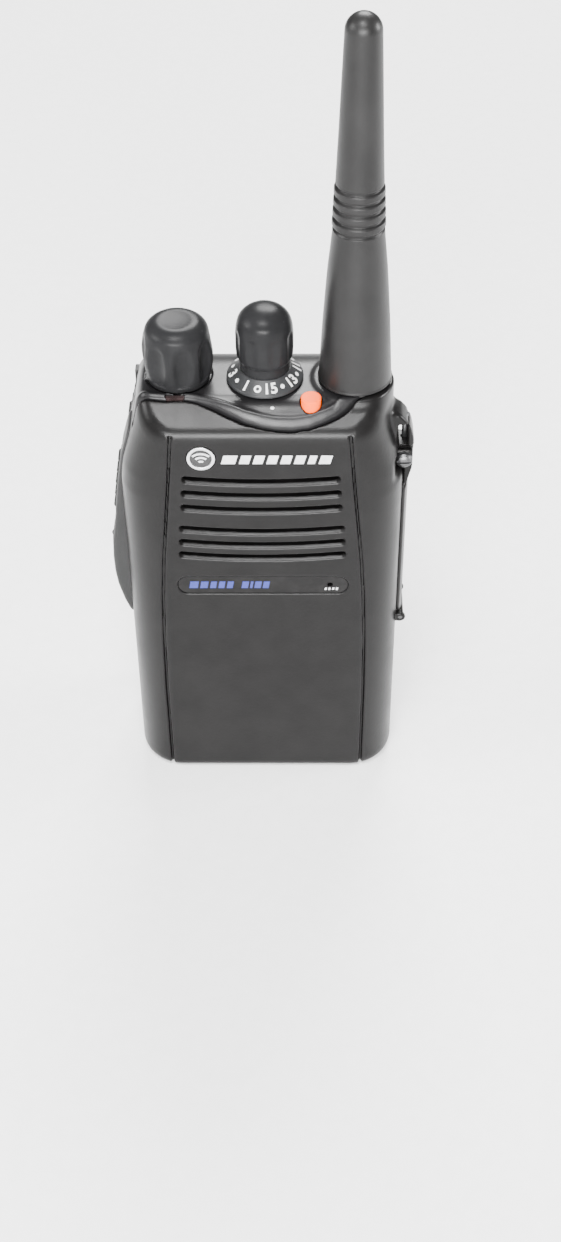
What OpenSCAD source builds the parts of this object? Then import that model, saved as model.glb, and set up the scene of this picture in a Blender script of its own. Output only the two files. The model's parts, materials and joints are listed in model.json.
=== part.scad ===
// Hand-held two-way radio with its clip-on battery pack.
// Millimetres. +Z is up, the front face looks towards -Y, and +X is the user's right
// when facing the front. The origin is the middle of the base.

/* [Body] */
// Width of the front housing
body_w = 55.5; // [54:0.5:57]
// Height of the top deck above the base
deck_z = 98; // [97:0.5:99]
// Distance from the middle plane to the front face
front_d = 15.5; // [15:0.5:16.5]
// Distance from the middle plane to the back of the battery pack
back_d = 15.5; // [15:0.5:16.5]
// Wall thickness of the front housing
wall = 2; // [1.8:0.1:2.2]
// Radius of the two long front edges
edge_r = 8.5; // [8:0.5:9]

/* [Controls] */
// Sideways place of the volume knob
vol_x = -15.8; // [-16.2:0.1:-15.6]
// Fore-and-aft place of the volume knob
vol_y = -1.9; // [-2.2:0.1:-1.6]
// Largest radius of the volume knob
vol_r = 6.9; // [6.6:0.1:7]
// Sideways place of the channel knob
chan_x = 0.8; // [0.4:0.1:1]
// Fore-and-aft place of the channel knob
chan_y = -2.8; // [-3:0.1:-2.4]
// Radius of the numbered dial
dial_r = 7.4; // [7:0.1:7.5]
// Number of channel positions round the dial
channels = 16; // [16]
// Sideways place of the emergency button
alarm_x = 9.6; // [9.4:0.1:9.8]
// Fore-and-aft place of the emergency button
alarm_y = -10.2; // [-10.4:0.1:-10]
// Radius of the emergency button
alarm_r = 1.95; // [1.8:0.05:2]

/* [Antenna] */
// Sideways place of the antenna
ant_x = 18; // [17.8:0.1:18.1]
// Fore-and-aft place of the antenna
ant_y = -3.1; // [-3.2:0.1:-2.9]
// Radius of the antenna at its base
ant_r = 7.1; // [6.8:0.1:7.2]
// Height of the antenna's tip above the base of the radio
ant_top = 171.3; // [160:0.1:175]

/* [Battery] */
// Width of the battery pack
pack_w = 54.4; // [54:0.2:55]
// Height of the top of the battery pack
pack_z = 90; // [89.5:0.5:90]
// Height of the underside of the battery pack
pack_z0 = 0.8; // [0.6:0.1:1]
// Radius of the pack's charging contacts
contact_r = 2.7; // [2.4:0.1:2.8]

/* [Hidden] */
$fn = 64;
hw = body_w / 2;
pw = pack_w / 2;
front_y = -front_d;
back_y = back_d;
eps = 0.01;

// Depth planes between the housing, the seal, the chassis and the pack
rim_y = 2;
seal_t = 0.3;
plate_y0 = rim_y + seal_t;
plate_t = 1.1;
plate_y1 = plate_y0 + plate_t;
pack_y0 = 3.7;
lid_t = 1.4;

// Top: the cap starts at cap_z, and in front of cap_y it narrows to a tongue
cap_z = 90.6;
cap_y = -9.7;
slope_y = -9.4;
slope_z = deck_z - 4.6;
tongue_z = 92.8;
tongue_x = 6;
tongue_y = -14.9;
tongue_left_r = 30;
tongue_right_r = 19.1;
tongue_blend_r = 8;
gap = 0.12;

// Heights of the two widths of the cavity inside the housing
cavity_z0 = 2.2;
cavity_step_z = 77;
cavity_z1 = 90.6;
cavity_narrow = 23;

// Speaker and slots
spk_z = 71;
slot_half = [15.1, 15.4, 15.6, 16.1, 16.3, 16.5];
slot_z = [82.3, 78.8, 75.2, 69.7, 66.2, 62.9];
slot_h = 1.3;

// Name plate recess and microphone
plate_z = 55.3;
plate_half = 17.3;
plate_h = 4.7;
mic_x = 13.6;
mic_z = 55.3;

// Side controls: each entry is [lowest z, highest z]
bezel_z0 = 39;
bezel_z1 = 88.5;
key_y0 = -5.4;
key_y1 = -0.8;
ptt_span = [65.2, 84.2];
key_1_span = [55.6, 62.2];
key_2_span = [46.4, 53];
key_gap = 0.25;
key_flange_x = -26.6;

// Strap lug, accessory socket and its cover
lug_x = 30.2;
lug_y0 = -5.8;
lug_y1 = -1.4;
lug_z0 = 75.4;
lug_z1 = 93;
lug_win_x0 = 26.7;
lug_win_x1 = 29;
lug_win_z0 = 84.2;
lug_win_z1 = 90.2;
strap_pin_r = 0.6;
cover_x0 = 27.9;
cover_x1 = 29.4;
cover_z0 = 39.8;
cover_z1 = 75;
hinge_x = 28.65;
hinge_pin_r = 0.45;
cover_screw_x = 27.9;
cover_screw_z = 81.4;
socket_z0 = 50;
socket_z1 = 66;

// Chassis screws: [x, z]
screw_at = [[-22.4, 8.5], [22.4, 8.5], [-21, 79], [21, 79]];

// Hooks at the foot of the pack, which it swings on
hook_y = 2.1;
hook_z = 3.4;
hook_r = 1;
hook_x = [-14, 14];
hook_len = 8;

// Pack latches
latch_y = 9.3;
latch_z0 = 68.6;
latch_len = 16.2;
latch_w = 5;
latch_travel = 4;
latch_in = 25.1;

// Charging contacts across the pack
charge_x = [-19, -11.5, 4, 12.9];
charge_z = 9.5;
// Radio contacts across the pack
cell_contact_x = [-7, 0, 7];
cell_contact_z = 13;

// Status lens in the deck, and the foot of the antenna with the rings above it
lens_x = -16.2;
lens_y = -8.85;
ant_base = deck_z + 0.65;
ring_z = [131.7, 133.8, 135.9, 138];

// Points along an arc, from angle a0 to a1
function arc(cx, cy, r, a0, a1, n) =
  [for (i = [0:n]) let (a = a0 + (a1 - a0) * i / n) [cx + r * cos(a), cy + r * sin(a)]];

// Edge between the cap and the front housing, seen from above, left to right
left_cy = tongue_y + tongue_left_r;
right_cy = tongue_y + tongue_right_r;
blend_cy = cap_y - tongue_blend_r;
blend_dy = left_cy - blend_cy;
blend_dx = sqrt(pow(tongue_left_r + tongue_blend_r, 2) - pow(blend_dy, 2));
blend_cx = tongue_x - blend_dx;
blend_a = atan2(blend_dy, blend_dx);
right_end_a = 360 - asin((right_cy - cap_y) / tongue_right_r);
tongue_edge = concat(
  arc(blend_cx, blend_cy, tongue_blend_r, 90, blend_a, 4),
  arc(tongue_x, left_cy, tongue_left_r, 180 + blend_a, 270, 8),
  arc(tongue_x, right_cy, tongue_right_r, 270, right_end_a, 10));

module at(x, y, z) { translate([x, y, z]) children(); }

// A cylinder along Y that starts at y
module rod_y(x, y, z, r, len) { at(x, y, z) rotate([-90, 0, 0]) cylinder(r = r, h = len); }

// A cylinder along X that starts at x
module rod_x(x, y, z, r, len) { at(x, y, z) rotate([0, 90, 0]) cylinder(r = r, h = len); }

// A box from one corner to the opposite one
module box(a, b) { at(a[0], a[1], a[2]) cube(b - a); }

// Outline with its two front corners rounded, seen from above
module plan(half, y0, y1, r) {
  translate([-half, y0 + r]) square([2 * half, y1 - y0 - r]);
  translate([-half + r, y0]) square([2 * (half - r), r + eps]);
  for (s = [-1, 1]) translate([s * (half - r), y0 + r]) circle(r = r);
}

// Rectangle with four round corners
module round_rect(x0, x1, y0, y1, r) {
  translate([x0 + r, y0]) square([x1 - x0 - 2 * r, y1 - y0]);
  translate([x0, y0 + r]) square([x1 - x0, y1 - y0 - 2 * r]);
  for (x = [x0 + r, x1 - r], y = [y0 + r, y1 - r]) translate([x, y]) circle(r = r);
}

// Turns an outline drawn in X and Z into a slab from y0 to y1
module slab_y(y0, y1) { at(0, y1, 0) rotate([90, 0, 0]) linear_extrude(y1 - y0) children(); }

// Turns an outline drawn in Y and Z into a slab from x0 to x1
module slab_x(x0, x1) {
  at(x0, 0, 0) rotate([90, 0, 90]) linear_extrude(x1 - x0) children();
}

// Front view of the body: straight sides, shoulders that draw in to the deck
module front_view() {
  right = [[hw - 3, 0], [hw - 0.9, 0.9], [hw, 3], [hw, 82], [hw - 0.9, 86.5],
    [hw - 2.2, 91], [hw - 2.9, 95], [hw - 3.8, 97.2], [hw - 5.4, deck_z]];
  left = [for (i = [len(right) - 1:-1:0]) [-right[i][0], right[i][1]]];
  polygon(concat(right, left));
}

// Side view of the body: the deck falls to the front edge and to the pack
module side_view() {
  polygon([[front_y + 1, 0], [front_y, 1], [front_y, slope_z - 1.2],
    [front_y + 0.5, slope_z], [slope_y - 2.4, deck_z - 1.4], [slope_y, deck_z - 0.2],
    [slope_y + 1.6, deck_z], [4.8, deck_z], [7.5, deck_z - 1], [11, 94.2],
    [13.6, cap_z + 0.6], [13.9, cap_z - 0.5], [13.9, 0]]);
}

module body_envelope() {
  intersection() {
    linear_extrude(deck_z) plan(hw, front_y, 14, edge_r);
    slab_y(front_y - 1, 15) front_view();
    slab_x(-hw - 1, hw + 1) side_view();
  }
}

// Space above cap_z and behind the cap's front edge, grown or shrunk by grow
module cap_zone(grow) {
  at(0, 0, cap_z - grow) linear_extrude(20)
    polygon([[-hw - 5, cap_y - grow], [hw + 5, cap_y - grow], [hw + 5, 20], [-hw - 5, 20]]);
  at(0, -grow, tongue_z - grow) linear_extrude(20)
    polygon(concat(tongue_edge, [[19, 0], [blend_cx, 0]]));
}

// A speaker slot, cut as a thin curved bar
module slot(half, z) {
  sag_r = 140;
  slab_y(front_y - 1, front_y + wall + 1) intersection() {
    translate([0, z + sag_r]) difference() {
      circle(r = sag_r + slot_h / 2, $fn = 360);
      circle(r = sag_r - slot_h / 2, $fn = 360);
    }
    translate([-half, z - 3]) square([2 * half, 8]);
  }
}

// The groove down one flank of the front face
module flank_groove(side) {
  path = [[16.8, 93], [17.6, 83], [18.6, 72], [19.5, 62], [20.1, 52], [20.5, 40],
    [20.7, 26], [20.7, 5]];
  groove_w = 0.7;
  pts = concat([for (p = path) [side * p[0], p[1]]],
    [for (i = [len(path) - 1:-1:0]) [side * (path[i][0] + groove_w), path[i][1]]]);
  slab_y(front_y - 1, front_y + 0.6) polygon(pts);
}

// Strap window, the pin that crosses it, and the hole of the cover's screw
module lug_holes() {
  box([lug_win_x0, lug_y0 - 1, lug_win_z0], [lug_win_x1, rim_y + 1, lug_win_z1]);
  at(28, -3.6, 82.6) cylinder(r = strap_pin_r, h = 9.2);
  rod_y(cover_screw_x, lug_y0 - 1, cover_screw_z, 1.1, 4);
}

module front_housing() {
  color([0.13, 0.13, 0.14]) {
    difference() {
      body_envelope();
      cap_zone(gap);
      box([-hw - 1, rim_y, -1], [hw + 1, 16, deck_z + 1]);
      // Cavity, wide below and narrow under the shoulders
      at(0, 0, cavity_z0) linear_extrude(cavity_step_z - cavity_z0)
        plan(hw - wall, front_y + wall, rim_y + 1, edge_r - wall);
      at(0, 0, cavity_step_z - eps) linear_extrude(cavity_z1 - cavity_step_z)
        plan(cavity_narrow, front_y + wall, rim_y + 1, edge_r - wall);
      for (i = [0:len(slot_z) - 1]) slot(slot_half[i], slot_z[i]);
      for (s = [-1, 1]) flank_groove(s);
      // Name plate recess and the microphone port in it
      slab_y(front_y - 1, front_y + 0.6)
        round_rect(-plate_half, plate_half, plate_z - plate_h / 2, plate_z + plate_h / 2,
          plate_h / 2 - 0.05);
      rod_y(mic_x, front_y - 1, mic_z, 0.6, 5);
      // Badge seat
      rod_y(-11.4, front_y - 1, 88.2, 2.75, 1.5);
      // Side key window
      box([-hw - 1, key_y0 - 1, 43.8], [-hw + wall + 3, key_y1 + 1, 86.4]);
      // Accessory socket
      box([hw - 3, -6.3, socket_z0 - 0.3], [hw + 1, -1.2, socket_z1 + 0.3]);
      // Flank cut away in front of the strap lug, and the holes in the lug
      box([25.9, front_y - 1, 79.2], [hw + 1, lug_y0, 91.4]);
      lug_holes();
      // Room for the emergency switch below the tongue
      box([alarm_x - 3.2, alarm_y - 2.8, 85], [alarm_x + 3.2, alarm_y + 5, tongue_z + 1]);
    }
    difference() {
      slab_y(lug_y0, lug_y1) polygon([[25, lug_z0], [27.8, lug_z0], [29.2, lug_z0 + 1.6],
        [29.9, lug_z0 + 3.6], [lug_x, 84], [lug_x, 88], [29.6, 91], [28.2, 92.8],
        [26.6, lug_z1], [25, lug_z1]]);
      box([23, lug_y0 - 1, cavity_z0], [25.6, rim_y, cap_z + gap]);
      box([23, cap_y, cap_z - gap], [25.9, rim_y, deck_z]);
      lug_holes();
    }
    // Bosses for the chassis screws
    for (p = screw_at) difference() {
      rod_y(p[0], front_y + wall - 0.5, p[1], 2.4, rim_y - front_y - wall + 0.5);
      rod_y(p[0], -4, p[1], 0.9, 8);
    }
    // Ears for the cover's hinge pin
    for (y = [-8.7, 0.6]) difference() {
      box([hw - 0.6, y, 38.8], [29.5, y + 0.9, 40.9]);
      rod_y(hinge_x, y - 1, cover_z0, hinge_pin_r, 3);
    }
  }
}

module control_top() {
  color([0.15, 0.15, 0.16]) difference() {
    intersection() {
      body_envelope();
      cap_zone(0);
    }
    // Hollow under the deck
    box([-21.6, cap_y + 1.5, cap_z - 1], [cavity_narrow, 7, 95.8]);
    box([-21.6, 6, cap_z - 1], [cavity_narrow, 11, 92.6]);
    // Holes for the shafts, the antenna bushing, the button and the lens
    at(vol_x, vol_y, 90) cylinder(r = 3.5, h = 10);
    at(vol_x, vol_y, deck_z - 0.5) cylinder(r = vol_r - 0.5, h = 2);
    at(chan_x, chan_y, 90) cylinder(r = 3.5, h = 10);
    at(ant_x, ant_y, 90) cylinder(r = 4.1, h = 10);
    at(alarm_x, alarm_y, 90) cylinder(r = alarm_r + 0.12, h = 10);
    at(alarm_x, alarm_y, 90) cylinder(r = 2.7, h = 3.9);
    at(lens_x, lens_y, 90) lens_outline(0.05, 10);
    at(2.3, -10.75, 96.3) index_outline(0.02, 3);
    // Notches over the two latch noses, open to the rear
    for (s = [-1, 1]) box([s * 25.75 - 1.1, 7.2, 88], [s * 25.75 + 1.1, 16, 92.3]);
  }
}

module chassis() {
  color([0.3, 0.31, 0.32]) difference() {
    union() {
      slab_y(plate_y0, plate_y1) round_rect(-hw + 0.5, hw - 0.5, 0.6, cap_z - 0.3, 2);
      // Rim that plugs into the housing
      difference() {
        slab_y(0.3, plate_y0 + eps) round_rect(-hw + 2.2, hw - 2.2, 2.5, 77, 2);
        slab_y(0, plate_y0 + 1) round_rect(-hw + 3.4, hw - 3.4, 6.6, 75.6, 1.5);
      }
    }
    // Pockets for the pack's hooks
    for (x = hook_x) box([x - hook_len / 2 - 0.5, 0, hook_z - 1.4],
      [x + hook_len / 2 + 0.5, 5, hook_z + 1.4]);
    for (p = screw_at) {
      rod_y(p[0], -1, p[1], 1.1, 6);
      rod_y(p[0], plate_y1 - 0.6, p[1], 2.1, 2);
      rod_y(p[0], -1, p[1], 2.7, 1 + plate_y0);
    }
    // Window for the contact block
    box([-11.3, 0, 8.7], [11.3, 5, 17.3]);
  }
}

module housing_seal() {
  color([0.05, 0.05, 0.05]) slab_y(rim_y, rim_y + seal_t) difference() {
    round_rect(-hw + 0.25, hw - 0.25, 0.4, cap_z - 0.2, 2);
    round_rect(-hw + 1.5, hw - 1.5, 1.7, cap_z - 1.6, 1.5);
  }
}

module chassis_screws() {
  color([0.55, 0.56, 0.58]) for (p = screw_at) {
    rod_y(p[0], -3.5, p[1], 0.9, plate_y1 - 0.5 + 3.5);
    difference() {
      rod_y(p[0], plate_y1 - 0.6, p[1], 1.9, 0.6);
      rod_y(p[0], plate_y1 - 0.35, p[1], 0.9, 1);
    }
  }
}

module speaker_felt() {
  color([0.04, 0.04, 0.04]) rod_y(0, front_y + wall + 0.02, spk_z, 15.8, 0.4);
}

module speaker_frame() {
  y = front_y + wall + 0.45;
  color([0.45, 0.46, 0.48]) at(0, y, spk_z) rotate([-90, 0, 0]) rotate_extrude()
    polygon([[14.2, 0], [16, 0], [16, 1.4], [14.2, 1.8], [9.6, 4.6], [9.6, 5.2], [7, 5.2],
      [7, 4.4], [9, 4.4], [13.8, 1.4], [14.2, 1.2]]);
}

module speaker_cone() {
  y = front_y + wall + 0.45;
  color([0.1, 0.09, 0.08]) at(0, y, spk_z) rotate([-90, 0, 0]) rotate_extrude()
    polygon([[0, 1.4], [4, 1.9], [6, 3], [13, 0.5], [14.15, 0.5], [14.15, 0.75], [13.1, 0.8],
      [6.4, 3.4], [6.4, 4.2], [6, 4.2], [6, 3.4], [3.9, 2.2], [0, 1.7]]);
}

module speaker_magnet() {
  color([0.35, 0.35, 0.37])
    rod_y(0, front_y + wall + 5.7, spk_z, 9, 3);
}

module speaker_bracket() {
  y = front_y + wall + 8.75;
  color([0.5, 0.5, 0.52]) difference() {
    union() {
      box([-19, y, spk_z - 3.6], [19, y + 0.5, spk_z + 3.6]);
      for (s = [-1, 1]) box([s * 18.5 - 0.5, front_y + wall + 0.3, spk_z - 3.6],
        [s * 18.5 + 0.5, y + 0.3, spk_z + 3.6]);
    }
    for (s = [-1, 1]) rod_y(s * 15, y - 1, spk_z, 1, 3);
  }
}

module microphone() {
  color([0.7, 0.7, 0.66]) rod_y(mic_x, front_y + wall + 0.65, mic_z, 3, 2.2);
}

module microphone_boot() {
  y = front_y + wall + 0.05;
  color([0.1, 0.1, 0.1]) difference() {
    rod_y(mic_x, y, mic_z, 3.8, 2.6);
    rod_y(mic_x, y + 0.6, mic_z, 3, 3);
    rod_y(mic_x, y - 1, mic_z, 0.8, 3);
  }
}

module main_board() {
  color([0.05, 0.32, 0.2]) difference() {
    box([-18.2, -2.6, 5], [18.2, -1.5, 80.6]);
    for (s = [-1, 1]) rod_y(s * 16, -4, 8, 1.2, 4);
  }
}

module shield_cans() {
  color([0.72, 0.73, 0.74]) {
    box([-17.5, -1.5, 44], [-1, 0.2, 76]);
    box([1, -1.5, 44], [17.5, 0.2, 76]);
    box([-17.5, -1.5, 20], [17.5, 0.2, 42]);
    box([-12, -4.2, 12], [12, -2.6, 34]);
  }
}

module controls_flex() {
  color([0.65, 0.42, 0.1]) {
    box([-21, -1.2, 82.6], [21, -0.9, 83.8]);
    box([-6, -1.2, 78], [6, -0.9, 82.6]);
    box([-6, -1.45, 78], [6, -1.2, 79]);
  }
}

// A rotary control: body under the deck, and a bushing up through it
module rotary_body(x, y, half) {
  difference() {
    union() {
      box([x - half, y - 4.2, 83.9], [x + half, y + 3.8, 90]);
      at(x, y, 90) cylinder(r = 3.3, h = 9.4);
    }
    at(x, y, 85) cylinder(r = 2.05, h = 20);
  }
}

// Nut on a bushing, drawn with six sides and a round bore
module ring_nut(x, y) {
  difference() {
    at(x, y, deck_z + 0.02) cylinder(r = 4.5, h = 1.3, $fn = 6);
    at(x, y, deck_z - 1) cylinder(r = 3.3, h = 4);
  }
}

// Control shaft with a flat on its upper part
module control_shaft(x, y, top) {
  at(x, y, 0) difference() {
    at(0, 0, 86) cylinder(r = 2, h = top - 86);
    box([1.3, -3, deck_z + 1.5], [3, 3, top + 1]);
  }
}

module volume_switch() { color([0.2, 0.2, 0.22]) rotary_body(vol_x, vol_y, 5); }

module volume_nut() {
  color([0.75, 0.7, 0.55]) at(0, 0, -0.5) ring_nut(vol_x, vol_y);
}

module volume_shaft() { color([0.7, 0.7, 0.72]) control_shaft(vol_x, vol_y, 107); }

// Turned outline of a knob with a hollow foot, a D-shaped bore and cut flutes
module volume_knob() {
  z0 = deck_z - 0.2;
  flutes = 8;
  color([0.07, 0.07, 0.075]) difference() {
    at(vol_x, vol_y, z0) rotate_extrude()
      polygon([[0, 11.9], [3.4, 12.05], [4.9, 12.4], [5.3, 12.3], [5.9, 11.2], [6.5, 9],
        [vol_r, 6.5], [vol_r, 4.6], [6.6, 2.2], [6.1, 0.4], [5.9, 0], [5.1, 0], [5.1, 2.2],
        [0, 2.2]]);
    for (i = [0:flutes - 1]) at(vol_x, vol_y, z0) rotate([0, 0, i * 360 / flutes + 22.5])
      at(vol_r + 3.1, 0, 2.4) rotate([0, -4, 0]) cylinder(r = 3.6, h = 8.2);
    intersection() {
      at(vol_x, vol_y, 95) cylinder(r = 2, h = 12);
      box([vol_x - 3, vol_y - 3, 90], [vol_x + 1.3, vol_y + 3, 120]);
    }
  }
}

module channel_switch() { color([0.22, 0.22, 0.24]) rotary_body(chan_x, chan_y, 5.4); }

module channel_nut() { color([0.75, 0.7, 0.55]) ring_nut(chan_x, chan_y); }

module channel_shaft() { color([0.7, 0.7, 0.72]) control_shaft(chan_x, chan_y, 110); }

// Slim grip with a domed top
module channel_knob() {
  z0 = deck_z + 2.5;
  flutes = 8;
  color([0.06, 0.06, 0.065]) difference() {
    at(chan_x, chan_y, z0) rotate_extrude()
      polygon(concat([[0, 0.2], [4.7, 0.2], [4.75, 2.1], [5.35, 3], [5.4, 5], [5.1, 7.8],
        [4.6, 10.2]], arc(0, 9.6, 4.6, 16, 90, 8)));
    for (i = [0:flutes - 1]) at(chan_x, chan_y, z0) rotate([0, 0, i * 360 / flutes])
      at(7.4, 0, -1) rotate([0, -3, 0]) cylinder(r = 2.6, h = 10.6);
    intersection() {
      at(chan_x, chan_y, 95) cylinder(r = 2, h = 15);
      box([chan_x - 3, chan_y - 3, 90], [chan_x + 1.3, chan_y + 3, 120]);
    }
  }
}

// Cone that carries the channel numbers round the foot of the knob
module channel_dial() {
  z0 = deck_z + 0.25;
  color([0.22, 0.22, 0.23]) difference() {
    at(chan_x, chan_y, z0) rotate_extrude()
      polygon([[4.9, 0], [dial_r, 0], [dial_r, 0.5], [4.9, 2.4], [0, 2.4], [0, 1.6], [4.9, 1.6]]);
    intersection() {
      at(chan_x, chan_y, 95) cylinder(r = 2, h = 15);
      box([chan_x - 3, chan_y - 3, 90], [chan_x + 1.3, chan_y + 3, 120]);
    }
  }
}

module index_outline(grow, h) {
  linear_extrude(h) polygon([[-0.7 - grow, -0.9 - grow], [0.7 + grow, -0.9 - grow],
    [grow + 0.3, 0.6 + grow], [-grow - 0.3, 0.6 + grow]]);
}

module index_mark() {
  color("white") intersection() {
    at(2.3, -10.75, 96.3) index_outline(0, 3);
    at(0, 0, 0.08) body_envelope();
  }
}

module lens_outline(grow, h) {
  linear_extrude(h) round_rect(-1.8 - grow, 1.8 + grow, -0.4 - grow, 0.4 + grow, 0.35);
}

module status_lens() {
  color([0.35, 0.1, 0.1, 0.8]) at(lens_x, lens_y, 95) lens_outline(0, 2.8);
}

module emergency_switch() {
  color([0.3, 0.3, 0.32]) {
    box([alarm_x - 2.4, alarm_y - 1.4, 87.2], [alarm_x + 2.4, alarm_y + 3, 89.4]);
    at(alarm_x, alarm_y, 89.4) cylinder(r = 1, h = 0.6);
  }
}

// Button with a flange that keeps it under the deck
module emergency_button() {
  color([0.95, 0.3, 0.12]) at(alarm_x, alarm_y, 0) {
    at(0, 0, 93.5) cylinder(r = alarm_r, h = 5);
    at(0, 0, 98.5) cylinder(r1 = alarm_r, r2 = alarm_r - 0.3, h = 0.3);
    at(0, 0, 92.3) cylinder(r = 2.4, h = 1.2);
    at(0, 0, 90.9) cylinder(r = 1.2, h = 1.4);
  }
}

module antenna_bushing() {
  color([0.8, 0.7, 0.4]) at(ant_x, ant_y, 0) difference() {
    union() {
      at(0, 0, 86) cylinder(r = 4, h = deck_z - 86);
      at(0, 0, 85) cylinder(r = 5, h = 1.4, $fn = 6);
      at(0, 0, 93.4) cylinder(r = 4.9, h = 2.3);
    }
    at(0, 0, 87.5) cylinder(r = 2.55, h = 20);
  }
}

module antenna_gasket() {
  color([0.04, 0.04, 0.04]) at(ant_x, ant_y, deck_z + 0.05) difference() {
    cylinder(r = 6.4, h = 0.55);
    at(0, 0, -1) cylinder(r = 3, h = 3);
  }
}

module antenna_stud() {
  color([0.8, 0.68, 0.35]) at(ant_x, ant_y, 0) {
    at(0, 0, 91) cylinder(r = 2.45, h = ant_base + 4 - 91);
    at(0, 0, 88.6) cylinder(r = 0.8, h = 3);
    at(0, 0, ant_base) cylinder(r = 4, h = 3);
  }
}

// Core that the wire is wound on, with the winding as a close coil
module antenna_coil() {
  turns = 18;
  color([0.78, 0.42, 0.2]) at(ant_x, ant_y, 0) {
    at(0, 0, ant_base + 4) cylinder(r = 1.5, h = 60);
    for (i = [0:turns - 1]) at(0, 0, ant_base + 7 + i * 1.6) rotate_extrude()
      translate([1.9, 0]) circle(r = 0.45, $fn = 16);
  }
}

module antenna_sheath() {
  h = ant_top - ant_base;
  rings = [for (z = ring_z) z - ant_base];
  low = [[ant_r - 0.5, 0], [ant_r, 0.5], [6.9, 4], [6.4, 13], [5.6, 24], [4.75, 31.3]];
  ridges = [for (z = rings, k = [[0.15, 0], [-0.35, 0.5], [-0.35, 1.2], [0.15, 1.7]])
    [4.72 - (z - rings[0]) * 0.045 + k[0], z + k[1]]];
  tip_r = 3.2;
  top = concat([[4.3, 41.8], [3.95, 51.5], [3.45, 66]], arc(0, h - tip_r, tip_r, 0, 90, 8));
  color([0.2, 0.2, 0.21]) at(ant_x, ant_y, ant_base) difference() {
    rotate_extrude() polygon(concat([[0, 0]], low, ridges, top));
    at(0, 0, -1) cylinder(r = 2.45, h = 5);
    at(0, 0, -1) cylinder(r = 4, h = 4);
    at(0, 0, 3) cylinder(r = 2.4, h = 35.5);
    at(0, 0, 3) cylinder(r = 1.5, h = 61);
  }
}

// Outline of the side bezel seen from the front, swelling over the two lower keys
module bezel_outline() {
  polygon([[-hw, bezel_z0], [-28.4, bezel_z0 + 0.6], [-29.5, 43], [-30.6, 47.5], [-31, 51],
    [-31.1, 55], [-30.9, 59], [-30.3, 63], [-29.9, 68], [-29.6, 74], [-29.1, 79], [-28.5, 84],
    [-27.9, 87.6], [-27.2, bezel_z1], [-25.5, bezel_z1], [-25.5, 80], [-hw, 80]]);
}

module side_bezel() {
  color([0.09, 0.09, 0.09]) difference() {
    union() {
      difference() {
        intersection() {
          slab_y(-6.9, 0.7) bezel_outline();
          slab_x(-32, -20) round_rect(-6.9, 0.7, bezel_z0, bezel_z1, 1.6);
        }
        body_envelope();
      }
      // Frame that plugs into the housing window
      box([-hw - 0.1, key_y0 - 0.9, 43.9], [-27.1, key_y1 + 0.9, 82]);
    }
    for (s = [ptt_span, key_1_span, key_2_span])
      box([-33, key_y0 - key_gap, s[0] - key_gap], [-20, key_y1 + key_gap, s[1] + key_gap]);
  }
}

// Key with a flange behind the bezel and a plunger on the switch side
module side_key(span, out_x, r) {
  slab_x(out_x, key_flange_x) round_rect(key_y0, key_y1, span[0], span[1], r);
  box([-26.9, key_y0 - 0.55, span[0] - 0.55], [key_flange_x, key_y1 + 0.55, span[1] + 0.55]);
}

module ptt_button() {
  ribs = 5;
  pitch = 3.4;
  z0 = (ptt_span[0] + ptt_span[1]) / 2 - pitch * (ribs - 1) / 2;
  color([0.1, 0.1, 0.1]) {
    side_key(ptt_span, -29.4, 1.8);
    for (i = [0:ribs - 1]) {
      x = -29.75 + i * 0.12;
      box([x, key_y0 + 0.6, z0 + i * pitch - 0.45], [-29, key_y1 - 0.6, z0 + i * pitch + 0.45]);
    }
  }
}

module side_button_1() {
  color([0.1, 0.1, 0.1]) {
    side_key(key_1_span, -31.2, 2.1);
    rod_x(-31.45, -3.1, 58.9, 0.6, 1);
  }
}

module side_button_2() {
  color([0.1, 0.1, 0.1]) {
    side_key(key_2_span, -31.2, 2.1);
    for (z = [48.7, 50.7]) rod_x(-31.45, -3.1, z, 0.6, 1);
  }
}

module side_button_board() {
  color([0.05, 0.32, 0.2]) box([-24.8, -6, 44.2], [-24.2, 0.1, 76.8]);
}

module side_switch_domes() {
  color([0.75, 0.76, 0.78]) for (z = [70.5, 58.9, 49.7]) {
    rod_x(-25.2, -3, z, 2.2, 0.4);
    rod_x(-25.4, -3, z, 1.2, 0.2);
  }
}

module strap_pin() {
  color([0.72, 0.73, 0.72]) at(28, -3.6, 82.6) cylinder(r = strap_pin_r, h = 9.2);
}

module accessory_socket() {
  color([0.16, 0.16, 0.17]) difference() {
    box([23.4, -6.2, socket_z0 - 0.2], [hw - 0.3, -1.3, socket_z1 + 0.2]);
    box([26.1, -5.6, socket_z0 + 0.6], [hw + 1, -1.9, socket_z1 - 0.6]);
  }
}

module accessory_contacts() {
  color([0.9, 0.72, 0.3]) for (i = [0:11]) {
    z = socket_z0 + 2 + floor(i / 2) * 2.4;
    rod_x(26.1, i % 2 == 0 ? -4.7 : -2.8, z, 0.5, 0.25);
  }
}

module cover_hinge_pin() {
  color([0.7, 0.7, 0.72]) rod_y(hinge_x, -8.6, cover_z0, hinge_pin_r, 10);
}

module connector_cover() {
  color([0.12, 0.12, 0.13]) difference() {
    union() {
      box([cover_x0, -7.6, cover_z0], [cover_x1, 0.4, cover_z1]);
      rod_y(hinge_x, -7.6, cover_z0, 0.75, 8);
      // Plug that closes the socket
      box([26.4, -5.2, socket_z0 + 1.2], [cover_x0 + 0.1, -2.3, socket_z1 - 1.2]);
      // Forked ear under the head of the screw
      box([cover_x0, -6.95, cover_z1 - 0.2], [29.7, -5.95, 83.2]);
      box([26.2, -6.95, 79.5], [cover_x0 + 0.1, -5.95, 83.2]);
    }
    rod_y(hinge_x, -9, cover_z0, hinge_pin_r + 0.06, 12);
    rod_y(cover_screw_x, -8, cover_screw_z, 1.1, 3);
    box([25, -8, cover_screw_z - 1.1], [cover_screw_x, -5, cover_screw_z + 1.1]);
  }
}

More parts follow.
